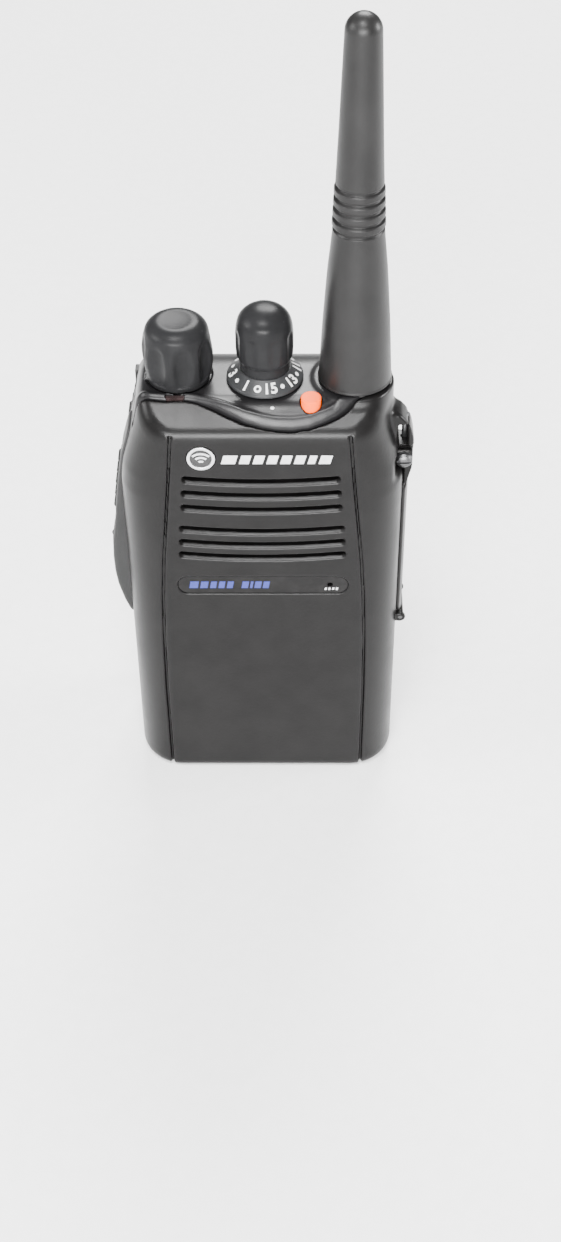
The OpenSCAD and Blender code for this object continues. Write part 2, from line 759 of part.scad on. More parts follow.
module cover_screw_washer() {
  color([0.7, 0.7, 0.72]) difference() {
    rod_y(cover_screw_x, -7.25, cover_screw_z, 1.65, 0.22);
    rod_y(cover_screw_x, -8, cover_screw_z, 0.95, 2);
  }
}

module cover_screw() {
  color([0.3, 0.3, 0.31]) {
    rod_y(cover_screw_x, -7.3, cover_screw_z, 0.85, 3.6);
    difference() {
      at(cover_screw_x, -7.27, cover_screw_z) rotate([90, 0, 0]) rotate_extrude()
        polygon([[0, 0], [1.6, 0], [1.6, 0.5], [1.3, 0.95], [0.8, 1.2], [0, 1.25]]);
      box([cover_screw_x - 2, -9, cover_screw_z - 0.2],
        [cover_screw_x + 2, -8.05, cover_screw_z + 0.2]);
    }
  }
}

module name_plate() {
  color([0.1, 0.1, 0.11]) difference() {
    slab_y(front_y + 0.25, front_y + 0.6)
      round_rect(-plate_half + 0.1, plate_half - 0.1, plate_z - plate_h / 2 + 0.1,
        plate_z + plate_h / 2 - 0.1, plate_h / 2 - 0.15);
    rod_y(mic_x, front_y - 1, mic_z, 0.6, 3);
  }
}

module front_badge() {
  color([0.85, 0.85, 0.86]) difference() {
    rod_y(-11.4, front_y - 0.25, 88.2, 2.7, 0.75);
    rod_y(-11.4, front_y - 1, 88.2, 2.1, 0.9);
  }
}

module contact_block() {
  color([0.12, 0.12, 0.12]) difference() {
    box([-11, 0.5, 9], [11, 3.3, 17]);
    for (x = cell_contact_x) box([x - 1.5, 1.2, 9.8], [x + 1.5, 5, 16.2]);
  }
}

module contact_springs() {
  color([0.92, 0.74, 0.32]) for (x = cell_contact_x) slab_x(x - 1, x + 1)
    polygon([[1.2, 10.2], [1.5, 10.2], [1.55, 11], [3.7, 13], [1.8, 15.4], [1.5, 15.2],
      [3.3, 13], [1.2, 11.3]]);
}

// Inner half of the pack, with the hooks that it hangs on
module battery_lid() {
  color([0.12, 0.12, 0.13]) difference() {
    union() {
      slab_x(-pw + 0.3, pw - 0.3) polygon([[pack_y0, 6], [pack_y0, pack_z - 0.8],
        [pack_y0 + lid_t, pack_z - 0.8], [pack_y0 + lid_t, pack_z0 + 4], [pack_y0 + 0.9, 4.2]]);
      for (x = hook_x) {
        rod_x(x - hook_len / 2, hook_y, hook_z, hook_r, hook_len);
        box([x - hook_len / 2, hook_y, hook_z - 0.5],
          [x + hook_len / 2, pack_y0 + 1.2, hook_z + 0.5]);
        box([x - hook_len / 2, pack_y0 + 0.7, hook_z - 0.5],
          [x + hook_len / 2, pack_y0 + lid_t, 7]);
      }
    }
    for (x = cell_contact_x) rod_y(x, 2, cell_contact_z, 1.8, 4);
  }
}

// Side view of the pack: main swell, a valley, the contact end, and a tapering top
module pack_view() {
  polygon([[pack_y0 + lid_t, pack_z0 + 3], [pack_y0 + 3, pack_z0], [back_y - 3.2, pack_z0],
    [back_y - 1.4, pack_z0 + 0.8], [back_y - 0.6, pack_z0 + 3], [back_y - 0.5, 17],
    [back_y - 0.75, 20], [back_y - 0.4, 23.5], [back_y, 27], [back_y, 80],
    [back_y - 0.6, 84], [back_y - 1.6, 87.4], [back_y - 2.6, 89.4], [back_y - 3.4, pack_z],
    [pack_y0 + lid_t, pack_z]]);
}

module battery_case() {
  grip_top = latch_z0 + latch_len;
  color([0.14, 0.14, 0.15]) difference() {
    intersection() {
      slab_x(-pw, pw) pack_view();
      linear_extrude(pack_z + 1) mirror([0, 1]) plan(pw, -back_y, 0, 3.6);
    }
    // Hollow for the cells
    box([-23.6, 4, 6], [23.6, 13.6, 87]);
    // Recess of each charging contact, run out towards the foot
    for (x = charge_x) {
      rod_y(x, back_y - 1.5, charge_z, contact_r + 0.3, 3);
      box([x - contact_r - 0.3, back_y - 1.5, 4.5], [x + contact_r + 0.3, back_y + 1, charge_z]);
      rod_y(x, 13, charge_z, 0.8, 2);
    }
    // Latch tracks and thumb scoops
    for (s = [-1, 1]) {
      box([s * 27 - 1.95, latch_y - latch_w / 2 - 0.25, latch_z0 - latch_travel - 0.4],
        [s * 27 + 1.95, latch_y + latch_w / 2 + 0.25, grip_top + 0.4]);
      box([s * 25.75 - 0.75, latch_y - 1.5, grip_top], [s * 25.75 + 0.75, latch_y + 1.5, 91]);
      box([s * 26 - 0.9, latch_y - 1.2, 58], [s * 26 + 0.9, latch_y + 1.2, latch_z0]);
      at(s * 38.6, 13, 76) sphere(r = 13);
    }
    // Slot on each side of the contact end
    for (s = [-1, 1]) box([s * pw - 0.5, 8.8, 1], [s * pw + 0.5, 9.6, 20]);
  }
}

module battery_cells() {
  color([0.2, 0.35, 0.6]) for (s = [-1, 1])
    slab_y(pack_y0 + lid_t + 0.3, 13.2) round_rect(s * 11.8 - 11.4, s * 11.8 + 11.4, 20, 84, 2);
}

module battery_board() {
  color([0.05, 0.32, 0.2]) box([-22, 5.6, 7.4], [22, 6.6, 18.6]);
}

module battery_terminals() {
  color([0.92, 0.74, 0.32]) for (x = cell_contact_x) {
    rod_y(x, 4.1, cell_contact_z, 1.7, 0.4);
    rod_y(x, 4.5, cell_contact_z, 0.6, 1.1);
  }
}

module charging_contacts() {
  color([0.93, 0.66, 0.2]) for (x = charge_x) {
    rod_y(x, back_y - 1.5, charge_z, contact_r, 0.45);
    rod_y(x, 6.6, charge_z, 0.8, back_y - 1.5 - 6.6 + eps);
  }
}

// Latch on the right; the left one is its mirror image
module latch() {
  ribs = 5;
  grip_top = latch_z0 + latch_len;
  slab_x(latch_in, 27.4) round_rect(latch_y - latch_w / 2, latch_y + latch_w / 2,
    latch_z0, grip_top, 2);
  for (i = [0:ribs - 1]) box([27.3, latch_y - 2, latch_z0 + 3.6 + i * 2.2],
    [27.85, latch_y + 2, latch_z0 + 4.5 + i * 2.2]);
  box([25.2, latch_y - 1.2, grip_top - 0.5], [26.3, latch_y + 1.2, 91.6]);
}

module latch_right() { color([0.12, 0.12, 0.12]) latch(); }

module latch_left() { color([0.12, 0.12, 0.12]) mirror([1, 0, 0]) latch(); }

// Flat wire spring that pushes its latch up
module latch_spring() {
  bends = 4;
  z0 = 58.05;
  h = (latch_z0 - 0.05 - z0) / (2 * bends);
  slab_x(25.7, 26.2) for (i = [0:2 * bends - 1]) {
    d = i % 2 == 0 ? 1 : -1;
    polygon([[latch_y - d, z0 + i * h], [latch_y - d, z0 + i * h + 0.35],
      [latch_y + d, z0 + (i + 1) * h], [latch_y + d, z0 + (i + 1) * h - 0.35]]);
  }
  slab_x(25.7, 26.2) for (i = [1:2 * bends - 1]) {
    d = i % 2 == 0 ? -1 : 1;
    translate([latch_y + d - (d > 0 ? 0.3 : 0), z0 + i * h - 0.35]) square([0.3, 0.7]);
  }
}

module latch_spring_right() { color([0.7, 0.7, 0.72]) latch_spring(); }

module latch_spring_left() { color([0.7, 0.7, 0.72]) mirror([1, 0, 0]) latch_spring(); }

front_housing();
control_top();
chassis();
housing_seal();
chassis_screws();
speaker_frame();
speaker_cone();
speaker_magnet();
speaker_felt();
speaker_bracket();
microphone();
microphone_boot();
main_board();
shield_cans();
controls_flex();
volume_switch();
volume_nut();
volume_shaft();
volume_knob();
channel_switch();
channel_nut();
channel_shaft();
channel_knob();
channel_dial();
index_mark();
status_lens();
emergency_switch();
emergency_button();
antenna_bushing();
antenna_gasket();
antenna_stud();
antenna_coil();
antenna_sheath();
side_bezel();
side_button_board();
side_switch_domes();
ptt_button();
side_button_1();
side_button_2();
strap_pin();
accessory_socket();
accessory_contacts();
cover_hinge_pin();
connector_cover();
cover_screw_washer();
cover_screw();
name_plate();
front_badge();
contact_block();
contact_springs();
battery_lid();
battery_case();
battery_cells();
battery_board();
battery_terminals();
charging_contacts();
latch_left();
latch_right();
latch_spring_left();
latch_spring_right();
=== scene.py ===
"""Looks of a hand-held two-way radio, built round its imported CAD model.

Lengths in this script are millimetres in the CAD frame, until a mesh is made.
The moulded pieces are distance fields: a field is negative inside the piece, and the
surface where it is zero becomes the mesh. smin and smax join and cut fields with a fillet.
"""

import json
import math

import bpy
import numpy as np
from mathutils import Matrix, Vector


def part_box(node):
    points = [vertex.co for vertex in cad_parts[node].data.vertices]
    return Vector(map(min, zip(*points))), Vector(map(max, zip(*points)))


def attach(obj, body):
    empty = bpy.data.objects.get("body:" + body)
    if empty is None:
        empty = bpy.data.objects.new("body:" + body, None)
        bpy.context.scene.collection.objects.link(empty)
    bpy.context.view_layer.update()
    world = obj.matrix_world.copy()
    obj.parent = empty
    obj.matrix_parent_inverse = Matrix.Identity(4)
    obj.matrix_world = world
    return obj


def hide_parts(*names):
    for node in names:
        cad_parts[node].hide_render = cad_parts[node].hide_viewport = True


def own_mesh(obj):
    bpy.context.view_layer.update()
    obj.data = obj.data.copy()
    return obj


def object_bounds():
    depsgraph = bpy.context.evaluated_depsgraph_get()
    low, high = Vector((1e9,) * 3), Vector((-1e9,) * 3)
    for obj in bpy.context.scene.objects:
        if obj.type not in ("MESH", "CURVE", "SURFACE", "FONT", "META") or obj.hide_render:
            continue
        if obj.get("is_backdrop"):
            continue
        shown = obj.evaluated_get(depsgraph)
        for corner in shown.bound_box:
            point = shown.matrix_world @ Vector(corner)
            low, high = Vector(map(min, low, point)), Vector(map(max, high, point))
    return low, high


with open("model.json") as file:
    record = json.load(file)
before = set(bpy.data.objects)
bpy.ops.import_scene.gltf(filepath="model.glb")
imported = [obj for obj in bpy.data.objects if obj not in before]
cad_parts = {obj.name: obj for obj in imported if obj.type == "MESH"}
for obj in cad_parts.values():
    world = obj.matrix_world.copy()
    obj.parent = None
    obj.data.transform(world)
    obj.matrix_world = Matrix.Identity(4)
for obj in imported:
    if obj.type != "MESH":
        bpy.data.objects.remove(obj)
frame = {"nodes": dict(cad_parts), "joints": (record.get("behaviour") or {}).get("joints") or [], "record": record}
cad_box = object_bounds()
NODES = frame["nodes"]
JOINTS = {joint["name"]: joint for joint in frame["joints"]}
SLOT_OF = {part["node"]: part["material_slot"] for part in frame["record"]["subparts"]}
MM = 0.001


def span(node):
    """Lowest and highest corner of a CAD node, in millimetres."""
    low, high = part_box(node)
    return np.array(low) / MM, np.array(high) / MM


def axis_of(joint):
    """Place of a joint's axis, in millimetres."""
    return np.array(JOINTS[joint]["pos_m"]) / MM


# Driving sizes, taken from the CAD frame where it states them
HOUSING_LOW, HOUSING_HIGH = span("front_housing")
FRONT = HOUSING_LOW[1]
RIM = HOUSING_HIGH[1]
DECK = span("control_top")[1][2]
HALF = 27.75
EDGE_R = 8.5
WALL = 2.0
CAP_Z = span("control_top")[0][2]
CAP_Y = -9.7
VOL = axis_of("volume_turn")
CHAN = axis_of("channel_turn")
ANT = axis_of("antenna_turn")
COLLAR_R = 7.55
UNDER_ANTENNA_R = 5.5
TONGUE_Z = 92.8
# Shafts of both switches, with a flat on the +X side
SHAFT_R = 2
SHAFT_FLAT = 1.3
PACK_LOW, PACK_HIGH = span("battery_case")

# ---------------------------------------------------------------- fields


def smin(a, b, k):
    """Union with a fillet about k wide."""
    h = np.maximum(k - np.abs(a - b), 0) / k
    return np.minimum(a, b) - h * h * k * 0.25


def smax(a, b, k):
    """Intersection with an edge rounded about k wide."""
    return -smin(-a, -b, k)


def cut(a, b, k=0.3):
    """Field a with field b taken away."""
    return smax(a, -b, k)


def length(*v):
    """Length of the vector with these components."""
    return np.sqrt(sum(c * c for c in v))


def block(x, y, z, low, high, r=0.0):
    """Box between two corners, with edges of radius r."""
    q = [np.abs(c - (a + b) / 2) - (b - a) / 2 + r for c, a, b in zip((x, y, z), low, high)]
    outside = length(*(np.maximum(c, 0) for c in q))
    return outside + np.minimum(np.maximum(np.maximum(q[0], q[1]), q[2]), 0) - r


def rect(u, v, half_u, half_v, r):
    """Flat rectangle round the origin with corners of radius r."""
    qu = np.abs(u) - half_u + r
    qv = np.abs(v) - half_v + r
    return length(np.maximum(qu, 0), np.maximum(qv, 0)) + np.minimum(np.maximum(qu, qv), 0) - r


def between(v, low, high):
    """Slab from low to high."""
    return np.abs(v - (low + high) / 2) - (high - low) / 2


def rod(u, v, w, r, low, high):
    """Cylinder of radius r round u = v = 0, from low to high along w."""
    return np.maximum(length(u, v) - r, between(w, low, high))


def ball(x, y, z, at, r):
    return length(x - at[0], y - at[1], z - at[2]) - r


def profile(points, soft):
    """Smooth function through a polyline whose corners are rounded over the length soft."""
    step = 0.05
    u, v = np.array(points, float).T
    fine = np.arange(u[0] - soft, u[-1] + soft, step)
    window = np.hanning(int(soft / step) // 2 * 2 + 3)
    line = np.interp(fine, u, v)
    values = np.convolve(np.pad(line, len(window) // 2, "edge"), window / window.sum(), "valid")
    return lambda t: np.interp(t, fine, values)


def engrave(shape, line, depth, k=0.25):
    """Groove of even depth in a shape, where line is negative."""
    return cut(shape, np.maximum(line, -(shape + depth)), k)


# ---------------------------------------------------------------- meshes


def grid_values(field, low, count, cell):
    """The field on a grid, worked out only in the blocks that the surface can cross."""
    side = 8
    blocks = -(-count // side)
    middle = [low[i] + (np.arange(blocks[i]) * side + (side - 1) / 2) * cell for i in range(3)]
    coarse = field(*np.meshgrid(*middle, indexing="ij"))
    values = np.where(coarse < 0, -1.0, 1.0)
    for axis in range(3):
        values = np.repeat(values, side, axis)
    near = np.argwhere(np.abs(coarse) < side * cell * 1.25)
    local = np.stack(np.meshgrid(*[np.arange(side)] * 3, indexing="ij"), -1).reshape(-1, 3)
    for part in np.array_split(near, max(1, len(near) // 1500)):
        index = (part[:, None] * side + local[None]).reshape(-1, 3)
        at = low + index * cell
        values[tuple(index.T)] = field(at[:, 0], at[:, 1], at[:, 2])
    return values


def gradient(field, p, value, h=0.004):
    """Forward difference of the field at points p."""
    shifts = np.eye(3) * h
    return np.stack([(field(*(p + s).T) - value) / h for s in shifts], -1)


def surface(field, low, high, cell):
    """Points, quads and normals of the surface where field is zero (surface nets)."""
    low = np.asarray(low, float) - 1.5 * cell
    count = np.ceil((np.asarray(high, float) + 2.5 * cell - low) / cell).astype(int)
    values = grid_values(field, low, count, cell)
    keys, places, corners = [], [], []
    for axis in range(3):
        first = np.moveaxis(values, axis, 0)[:-1]
        second = np.moveaxis(values, axis, 0)[1:]
        hit = np.moveaxis((first < 0) != (second < 0), 0, axis)
        edge = np.argwhere(hit)
        a = np.moveaxis(first, 0, axis)[hit]
        b = np.moveaxis(second, 0, axis)[hit]
        place = edge.astype(float)
        place[:, axis] += a / (a - b)
        u, v = np.eye(3, dtype=int)[(axis + 1) % 3], np.eye(3, dtype=int)[(axis + 2) % 3]
        ring = [edge, edge - u, edge - u - v, edge - v]
        ring = np.stack([np.ravel_multi_index(r.T, values.shape) for r in ring], 1)
        ring[a >= 0] = ring[a >= 0][:, ::-1]
        keys.append(ring.ravel())
        places.append(np.repeat(place, 4, 0))
        corners.append(len(ring))
    keys, places = np.concatenate(keys), np.concatenate(places)
    _, which = np.unique(keys, return_inverse=True)
    points = np.stack([np.bincount(which, places[:, i]) for i in range(3)], 1)
    points = low + points / np.bincount(which)[:, None] * cell
    quads = which.reshape(-1, 4)
    for _ in range(2):
        value = field(*points.T)
        slope = gradient(field, points, value)
        move = value / np.maximum((slope**2).sum(1), 0.3)
        points = points - np.clip(move, -0.4 * cell, 0.4 * cell)[:, None] * slope
    normals = gradient(field, points, field(*points.T))
    normals /= np.maximum(np.linalg.norm(normals, axis=1), 1e-9)[:, None]
    return points, quads, normals


def mesh_object(name, points, faces, normals=None):
    """Object from points in millimetres and quads, smooth shaded."""
    mesh = bpy.data.meshes.new(name)
    mesh.vertices.add(len(points))
    mesh.vertices.foreach_set("co", (np.asarray(points) * MM).astype(np.float32).ravel())
    faces = np.asarray(faces)
    size = faces.shape[1]
    mesh.loops.add(faces.size)
    mesh.loops.foreach_set("vertex_index", faces.astype(np.int32).ravel())
    mesh.polygons.add(len(faces))
    mesh.polygons.foreach_set("loop_start", np.arange(0, faces.size, size, dtype=np.int32))
    mesh.polygons.foreach_set("loop_total", np.full(len(faces), size, np.int32))
    mesh.update(calc_edges=True)
    mesh.validate()
    mesh.shade_smooth()
    if normals is not None and len(mesh.vertices) == len(normals):
        mesh.normals_split_custom_set_from_vertices(normals.astype(np.float32))
    obj = bpy.data.objects.new(name, mesh)
    bpy.context.scene.collection.objects.link(obj)
    return obj


def place(obj, body, slot, replaced=()):
    """Gives a piece its finish, its body and the CAD nodes that it stands for."""
    obj.data.materials.clear()
    obj.data.materials.append(MATERIALS[slot])
    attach(obj, body)
    if replaced:
        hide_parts(*replaced)
    return obj


def mould(node, field, cell, body, low=None, high=None, name=None):
    """Piece made from a field, in place of a CAD node."""
    box_low, box_high = span(node)
    low = box_low - 1.2 if low is None else low
    high = box_high + 1.2 if high is None else high
    obj = mesh_object(name or node + "_moulding", *surface(field, low, high, cell))
    return place(obj, body, SLOT_OF[node], [node])


def lathe(name, outline, centre, steps):
    """Turned piece: outline is a list of (radius, height), centre its axis."""
    outline = np.array(outline, float)
    angles = np.arange(steps) * 2 * math.pi / steps
    ring = np.stack([np.cos(angles), np.sin(angles)], 1)
    points = np.concatenate(
        [np.column_stack([r * ring + centre[:2], np.full(steps, z)]) for r, z in outline]
    )
    i = np.arange(len(outline) - 1)[:, None] * steps
    j = np.arange(steps)[None]
    k = (j + 1) % steps
    faces = np.stack([i + j, i + k, i + steps + k, i + steps + j], -1).reshape(-1, 4)
    return mesh_object(name, points, faces)


def plate(name, outlines, y_back, y_front):
    """Flat marks facing -Y: each outline is a list of (x, z), extruded between two depths."""
    verts, faces = [], []
    for outline in outlines:
        n, base = len(outline), len(verts)
        verts += [(x * MM, y_front * MM, z * MM) for x, z in outline]
        verts += [(x * MM, y_back * MM, z * MM) for x, z in outline]
        faces.append([base + i for i in range(n)])
        faces.append([base + n + i for i in reversed(range(n))])
        faces += [
            [base + i, base + n + i, base + n + (i + 1) % n, base + (i + 1) % n] for i in range(n)
        ]
    mesh = bpy.data.meshes.new(name)
    mesh.from_pydata(verts, [], faces)
    obj = bpy.data.objects.new(name, mesh)
    bpy.context.scene.collection.objects.link(obj)
    return obj


# ---------------------------------------------------------------- finishes


class Finish:
    """Node material with grain, blotches and handling marks on one Principled shader."""

    def __init__(self, name, colour, rough, metal=0.0, specular=0.5):
        self.material = bpy.data.materials.new(name)
        self.material.use_nodes = True
        self.tree = self.material.node_tree
        self.shader = self.tree.nodes["Principled BSDF"]
        self.colour, self.rough = colour, rough
        self.shader.inputs["Metallic"].default_value = metal
        self.shader.inputs["Specular IOR Level"].default_value = specular
        self.material.diffuse_color = (*colour, 1)
        self.where = self.node("ShaderNodeTexCoord").outputs["Object"]

    def node(self, kind, **settings):
        node = self.tree.nodes.new(kind)
        for key, value in settings.items():
            setattr(node, key, value)
        return node

    def link(self, output, socket):
        self.tree.links.new(output, socket)

    def noise(self, scale, detail=2.0, rough=0.5, stretch=None):
        """Noise with features about 1 / scale metres across."""
        noise = self.node("ShaderNodeTexNoise")
        noise.inputs["Scale"].default_value = scale
        noise.inputs["Detail"].default_value = detail
        noise.inputs["Roughness"].default_value = rough
        where = self.where
        if stretch:
            mapping = self.node("ShaderNodeMapping")
            mapping.inputs["Scale"].default_value = stretch
            self.link(where, mapping.inputs["Vector"])
            where = mapping.outputs["Vector"]
        self.link(where, noise.inputs["Vector"])
        return noise.outputs["Fac"]

    def remap(self, value, low, high, to_low, to_high):
        node = self.node("ShaderNodeMapRange")
        ends = {"From Min": low, "From Max": high, "To Min": to_low, "To Max": to_high}
        for key, number in ends.items():
            node.inputs[key].default_value = number
        self.link(value, node.inputs["Value"])
        return node.outputs["Result"]

    def rubbed(self):
        """High where a convex edge has been handled."""
        edge = self.node("ShaderNodeNewGeometry").outputs["Pointiness"]
        both = self.node("ShaderNodeMath", operation="MULTIPLY")
        self.link(self.remap(edge, 0.52, 0.62, 0, 1), both.inputs[0])
        self.link(self.remap(self.noise(400, 3, 0.6), 0.4, 0.65, 0.1, 1), both.inputs[1])
        return both.outputs[0]

    def most(self, a, b):
        node = self.node("ShaderNodeMath", operation="MAXIMUM")
        self.link(a, node.inputs[0])
        self.link(b, node.inputs[1])
        return node.outputs[0]

    def paint(self, fac, other):
        """Base colour, blended towards other where fac is high."""
        mix = self.node("ShaderNodeMix", data_type="RGBA")
        mix.inputs["A"].default_value = (*self.colour, 1)
        mix.inputs["B"].default_value = (*other, 1)
        self.link(fac, mix.inputs["Factor"])
        self.link(mix.outputs["Result"], self.shader.inputs["Base Color"])

    def roughness(self, fac, spread):
        out = self.remap(fac, 0.3, 0.7, self.rough - spread, self.rough + spread)
        self.link(out, self.shader.inputs["Roughness"])

    def bump(self, heights, distance, strength=1.0):
        """Bump from one or more height outputs, given as (output, weight)."""
        normal = None
        for height, weight in heights:
            bump = self.node("ShaderNodeBump")
            bump.inputs["Strength"].default_value = strength
            bump.inputs["Distance"].default_value = distance * weight
            self.link(height, bump.inputs["Height"])
            if normal:
                self.link(normal, bump.inputs["Normal"])
            normal = bump.outputs["Normal"]
        self.link(normal, self.shader.inputs["Normal"])


def lighter(colour, by):
    return tuple(min(1.0, c * by) for c in colour)


def moulded(name, colour, rough, grain, specular=0.4, worn=2.4):
    """Spark-eroded plastic: fine grain, faint blotches, and rubbed patches."""
    finish = Finish(name, colour, rough, specular=specular)
    blotch = finish.noise(120, 4, 0.6)
    grit = finish.noise(3600, 2, 0.6)
    patches = finish.remap(blotch, 0.35, 0.75, 0, 0.4)
    finish.paint(finish.most(patches, finish.rubbed()), lighter(colour, worn))
    finish.roughness(blotch, 0.05)
    finish.bump([(grit, 1.0), (finish.noise(1500, 2, 0.5), 0.8)], grain)
    return finish.material


def metal(name, colour, rough, brushed=None):
    finish = Finish(name, colour, rough, metal=1.0)
    smear = finish.noise(260, 3, 0.6)
    finish.paint(finish.remap(smear, 0.4, 0.75, 0, 0.6), lighter(colour, 0.72))
    finish.roughness(smear, 0.08)
    finish.bump([(finish.noise(2200, 2, 0.5, stretch=brushed), 1.0)], 0.00001)
    return finish.material


def board(name, colour):
    finish = Finish(name, colour, 0.35)
    tracks = finish.noise(900, 0, 0.5, stretch=(1, 1, 0.15))
    finish.paint(finish.remap(tracks, 0.5, 0.56, 0, 1), lighter(colour, 1.7))
    finish.roughness(tracks, 0.06)
    finish.bump([(tracks, 1.0)], 0.00002)
    return finish.material


def cloth(name, colour, rough=0.9):
    finish = Finish(name, colour, rough, specular=0.2)
    fibre = finish.noise(2500, 4, 0.7)
    finish.paint(fibre, lighter(colour, 2.2))
    finish.roughness(fibre, 0.05)
    finish.bump([(fibre, 1.0)], 0.00015)
    return finish.material


def make_materials():
    """One finish for each material slot of the record."""
    return {
        "housing_plastic": moulded("housing_plastic", (0.0032, 0.003, 0.003), 0.34, 0.000014, 0.14),
        "cap_plastic": moulded("cap_plastic", (0.005, 0.0048, 0.0051), 0.36, 0.000014, 0.2),
        "pack_plastic": moulded("pack_plastic", (0.0045, 0.0042, 0.0042), 0.42, 0.000016, 0.18),
        "knob_plastic": moulded("knob_plastic", (0.008, 0.008, 0.0084), 0.35, 0.000006, 0.06),
        "dial_plastic": moulded("dial_plastic", (0.014, 0.0143, 0.015), 0.45, 0.00001, 0.2),
        "orange_plastic": moulded("orange_plastic", (0.8, 0.085, 0.001), 0.5, 0.00001, 0.15, 1.1),
        "key_rubber": moulded("key_rubber", (0.008, 0.008, 0.008), 0.5, 0.00002, 0.25),
        "seal_rubber": moulded("seal_rubber", (0.012, 0.012, 0.012), 0.65, 0.00002),
        "antenna_rubber": moulded("antenna_rubber", (0.006, 0.0058, 0.0058), 0.42, 0.00001, 0.19),
        "inner_plastic": moulded("inner_plastic", (0.03, 0.03, 0.03), 0.5, 0.00002),
        "white_mark": moulded("white_mark", (0.6, 0.6, 0.6), 0.5, 0.000005, worn=0.8),
        "blue_mark": moulded("blue_mark", (0.014, 0.022, 0.15), 0.45, 0.000005, worn=1.2),
        "clear_lens": moulded("clear_lens", (0.012, 0.008, 0.008), 0.15, 0.000003),
        "cell_wrap": moulded("cell_wrap", (0.04, 0.12, 0.4), 0.35, 0.00001),
        "flex_film": moulded("flex_film", (0.5, 0.24, 0.04), 0.3, 0.00001),
        "chassis_metal": metal("chassis_metal", (0.018, 0.018, 0.019), 0.55),
        "steel": metal("steel", (0.085, 0.085, 0.087), 0.5, brushed=(1, 1, 0.1)),
        "brass": metal("brass", (0.78, 0.62, 0.3), 0.3),
        "gold_contact": metal("gold_contact", (0.95, 0.6, 0.16), 0.3),
        "copper": metal("copper", (0.75, 0.36, 0.18), 0.3),
        "magnet_steel": metal("magnet_steel", (0.3, 0.3, 0.32), 0.4),
        "badge_metal": metal("badge_metal", (0.75, 0.75, 0.76), 0.35),
        "circuit_board": board("circuit_board", (0.02, 0.16, 0.08)),
        "cone_paper": cloth("cone_paper", (0.04, 0.036, 0.03)),
        "grille_felt": cloth("grille_felt", (0.008, 0.008, 0.008)),
    }


MATERIALS = make_materials()
for node, obj in NODES.items():
    obj.data.materials.clear()
    obj.data.materials.append(MATERIALS[SLOT_OF[node]])

# ---------------------------------------------------------------- outside of the body

half_width = profile(
    [(0, 26.9), (2.5, HALF), (78, HALF), (82, 27.2), (86, 26.1), (90, 25.0), (94, 24.1), (98, 23.4)], 3
)
# Front edge of the cap seen from above: round the volume knob, out along the tongue, and back
cap_edge = profile(
    [(-28, -7.0), (-24.5, -8.0), (-20.9, -9.1), (-18.2, -9.45), (-14.7, -9.3), (-12.6, -9.6),
     (-9.5, -10.6), (-6.3, -11.9), (-3, -13.1), (0.3, -13.75), (3, -14.05), (6.3, -14.1),
     (9.5, -13.8), (12.4, -13.0), (14.5, -12.2), (16.3, -11.2), (17.8, -10.2), (19.2, -9.2),
     (20.4, -6), (22, -2), (24, 1), (28, 1.2)], 1.6
)
SLOPE = math.radians(37)
SLOPE_Y = -9.4
REAR_SLOPE_Y = 5.0
BODY_BACK = 13.9


def body(x, y, z):
    """Housing and cap as one closed shape."""
    w = half_width(z)
    qx = np.abs(x) - (w - EDGE_R)
    qy = FRONT + EDGE_R - y
    plan = length(np.maximum(qx, 0), np.maximum(qy, 0))
    plan = plan + np.minimum(np.maximum(qx, qy), 0) - EDGE_R
    slope = -math.sin(SLOPE) * (y - SLOPE_Y) + math.cos(SLOPE) * (z - DECK)
    rear = math.sin(SLOPE) * (y - REAR_SLOPE_Y) + math.cos(SLOPE) * (z - DECK)
    top = smax(smax(z - DECK, slope, 0.9), rear, 2.5)
    shape = smax(plan, top, 1.7 + 1.3 * np.clip((np.abs(x) - 18) / 6, 0, 1))
    collar = smax(length(x - ANT[0], y - ANT[1]) - COLLAR_R, z - DECK, 0.7)
    shape = smin(shape, np.maximum(collar, 86 - z), 1.6)
    shape = smax(shape, -z, 2.2)
    return smax(shape, y - BODY_BACK, 4.5)


def cap_lead(x, y):
    """Distance in front of the cap's front edge, negative behind it."""
    slant = (cap_edge(x + 0.1) - cap_edge(x - 0.1)) / 0.2
    return (cap_edge(x) - y) / np.sqrt(1 + slant * slant)


def cap_zone(x, y, z):
    """Room that the cap takes: behind its front edge, and above its foot or the tongue's."""
    under_antenna = length(x - ANT[0], y - ANT[1]) - UNDER_ANTENNA_R
    outline = smin(cap_lead(x, y), under_antenna, 0.3)
    low = np.where(y > CAP_Y, CAP_Z, TONGUE_Z)
    return np.maximum(outline, low - z)


# ---------------------------------------------------------------- front housing

slots = [(82.3, 15.1), (78.8, 15.4), (75.2, 15.6), (69.7, 16.1), (66.2, 16.3), (62.9, 16.5)]
flank_line = profile(
    [(3, 20.9), (26, 21), (40, 20.8), (52, 20.4), (62, 19.8), (72, 18.9), (83, 17.9), (93, 17.1)], 4
)
PLATE_Z, PLATE_HALF, PLATE_R = 55.3, 17.3, 2.35
MIC_X = 13.6
BADGE = (-11.4, 88.2)
lug_edge = profile(
    [(75.4, 27.6), (77, 28.8), (79, 29.4), (83, 29.8), (86, 29.7), (88.3, 29.2), (90.4, 28.2),
     (92, 26.8), (93, 26.4)], 1.4
)
SCREWS = [(-22.4, 8.5), (22.4, 8.5), (-21, 79), (21, 79)]
HINGE = axis_of("cover_swing")
COVER_SCREW = axis_of("cover_screw_turn")
PIN = (span("strap_pin")[0] + span("strap_pin")[1]) / 2
PIN_R = (span("strap_pin")[1][0] - span("strap_pin")[0][0]) / 2
PIN_Z = (span("strap_pin")[0][2], 90.1)


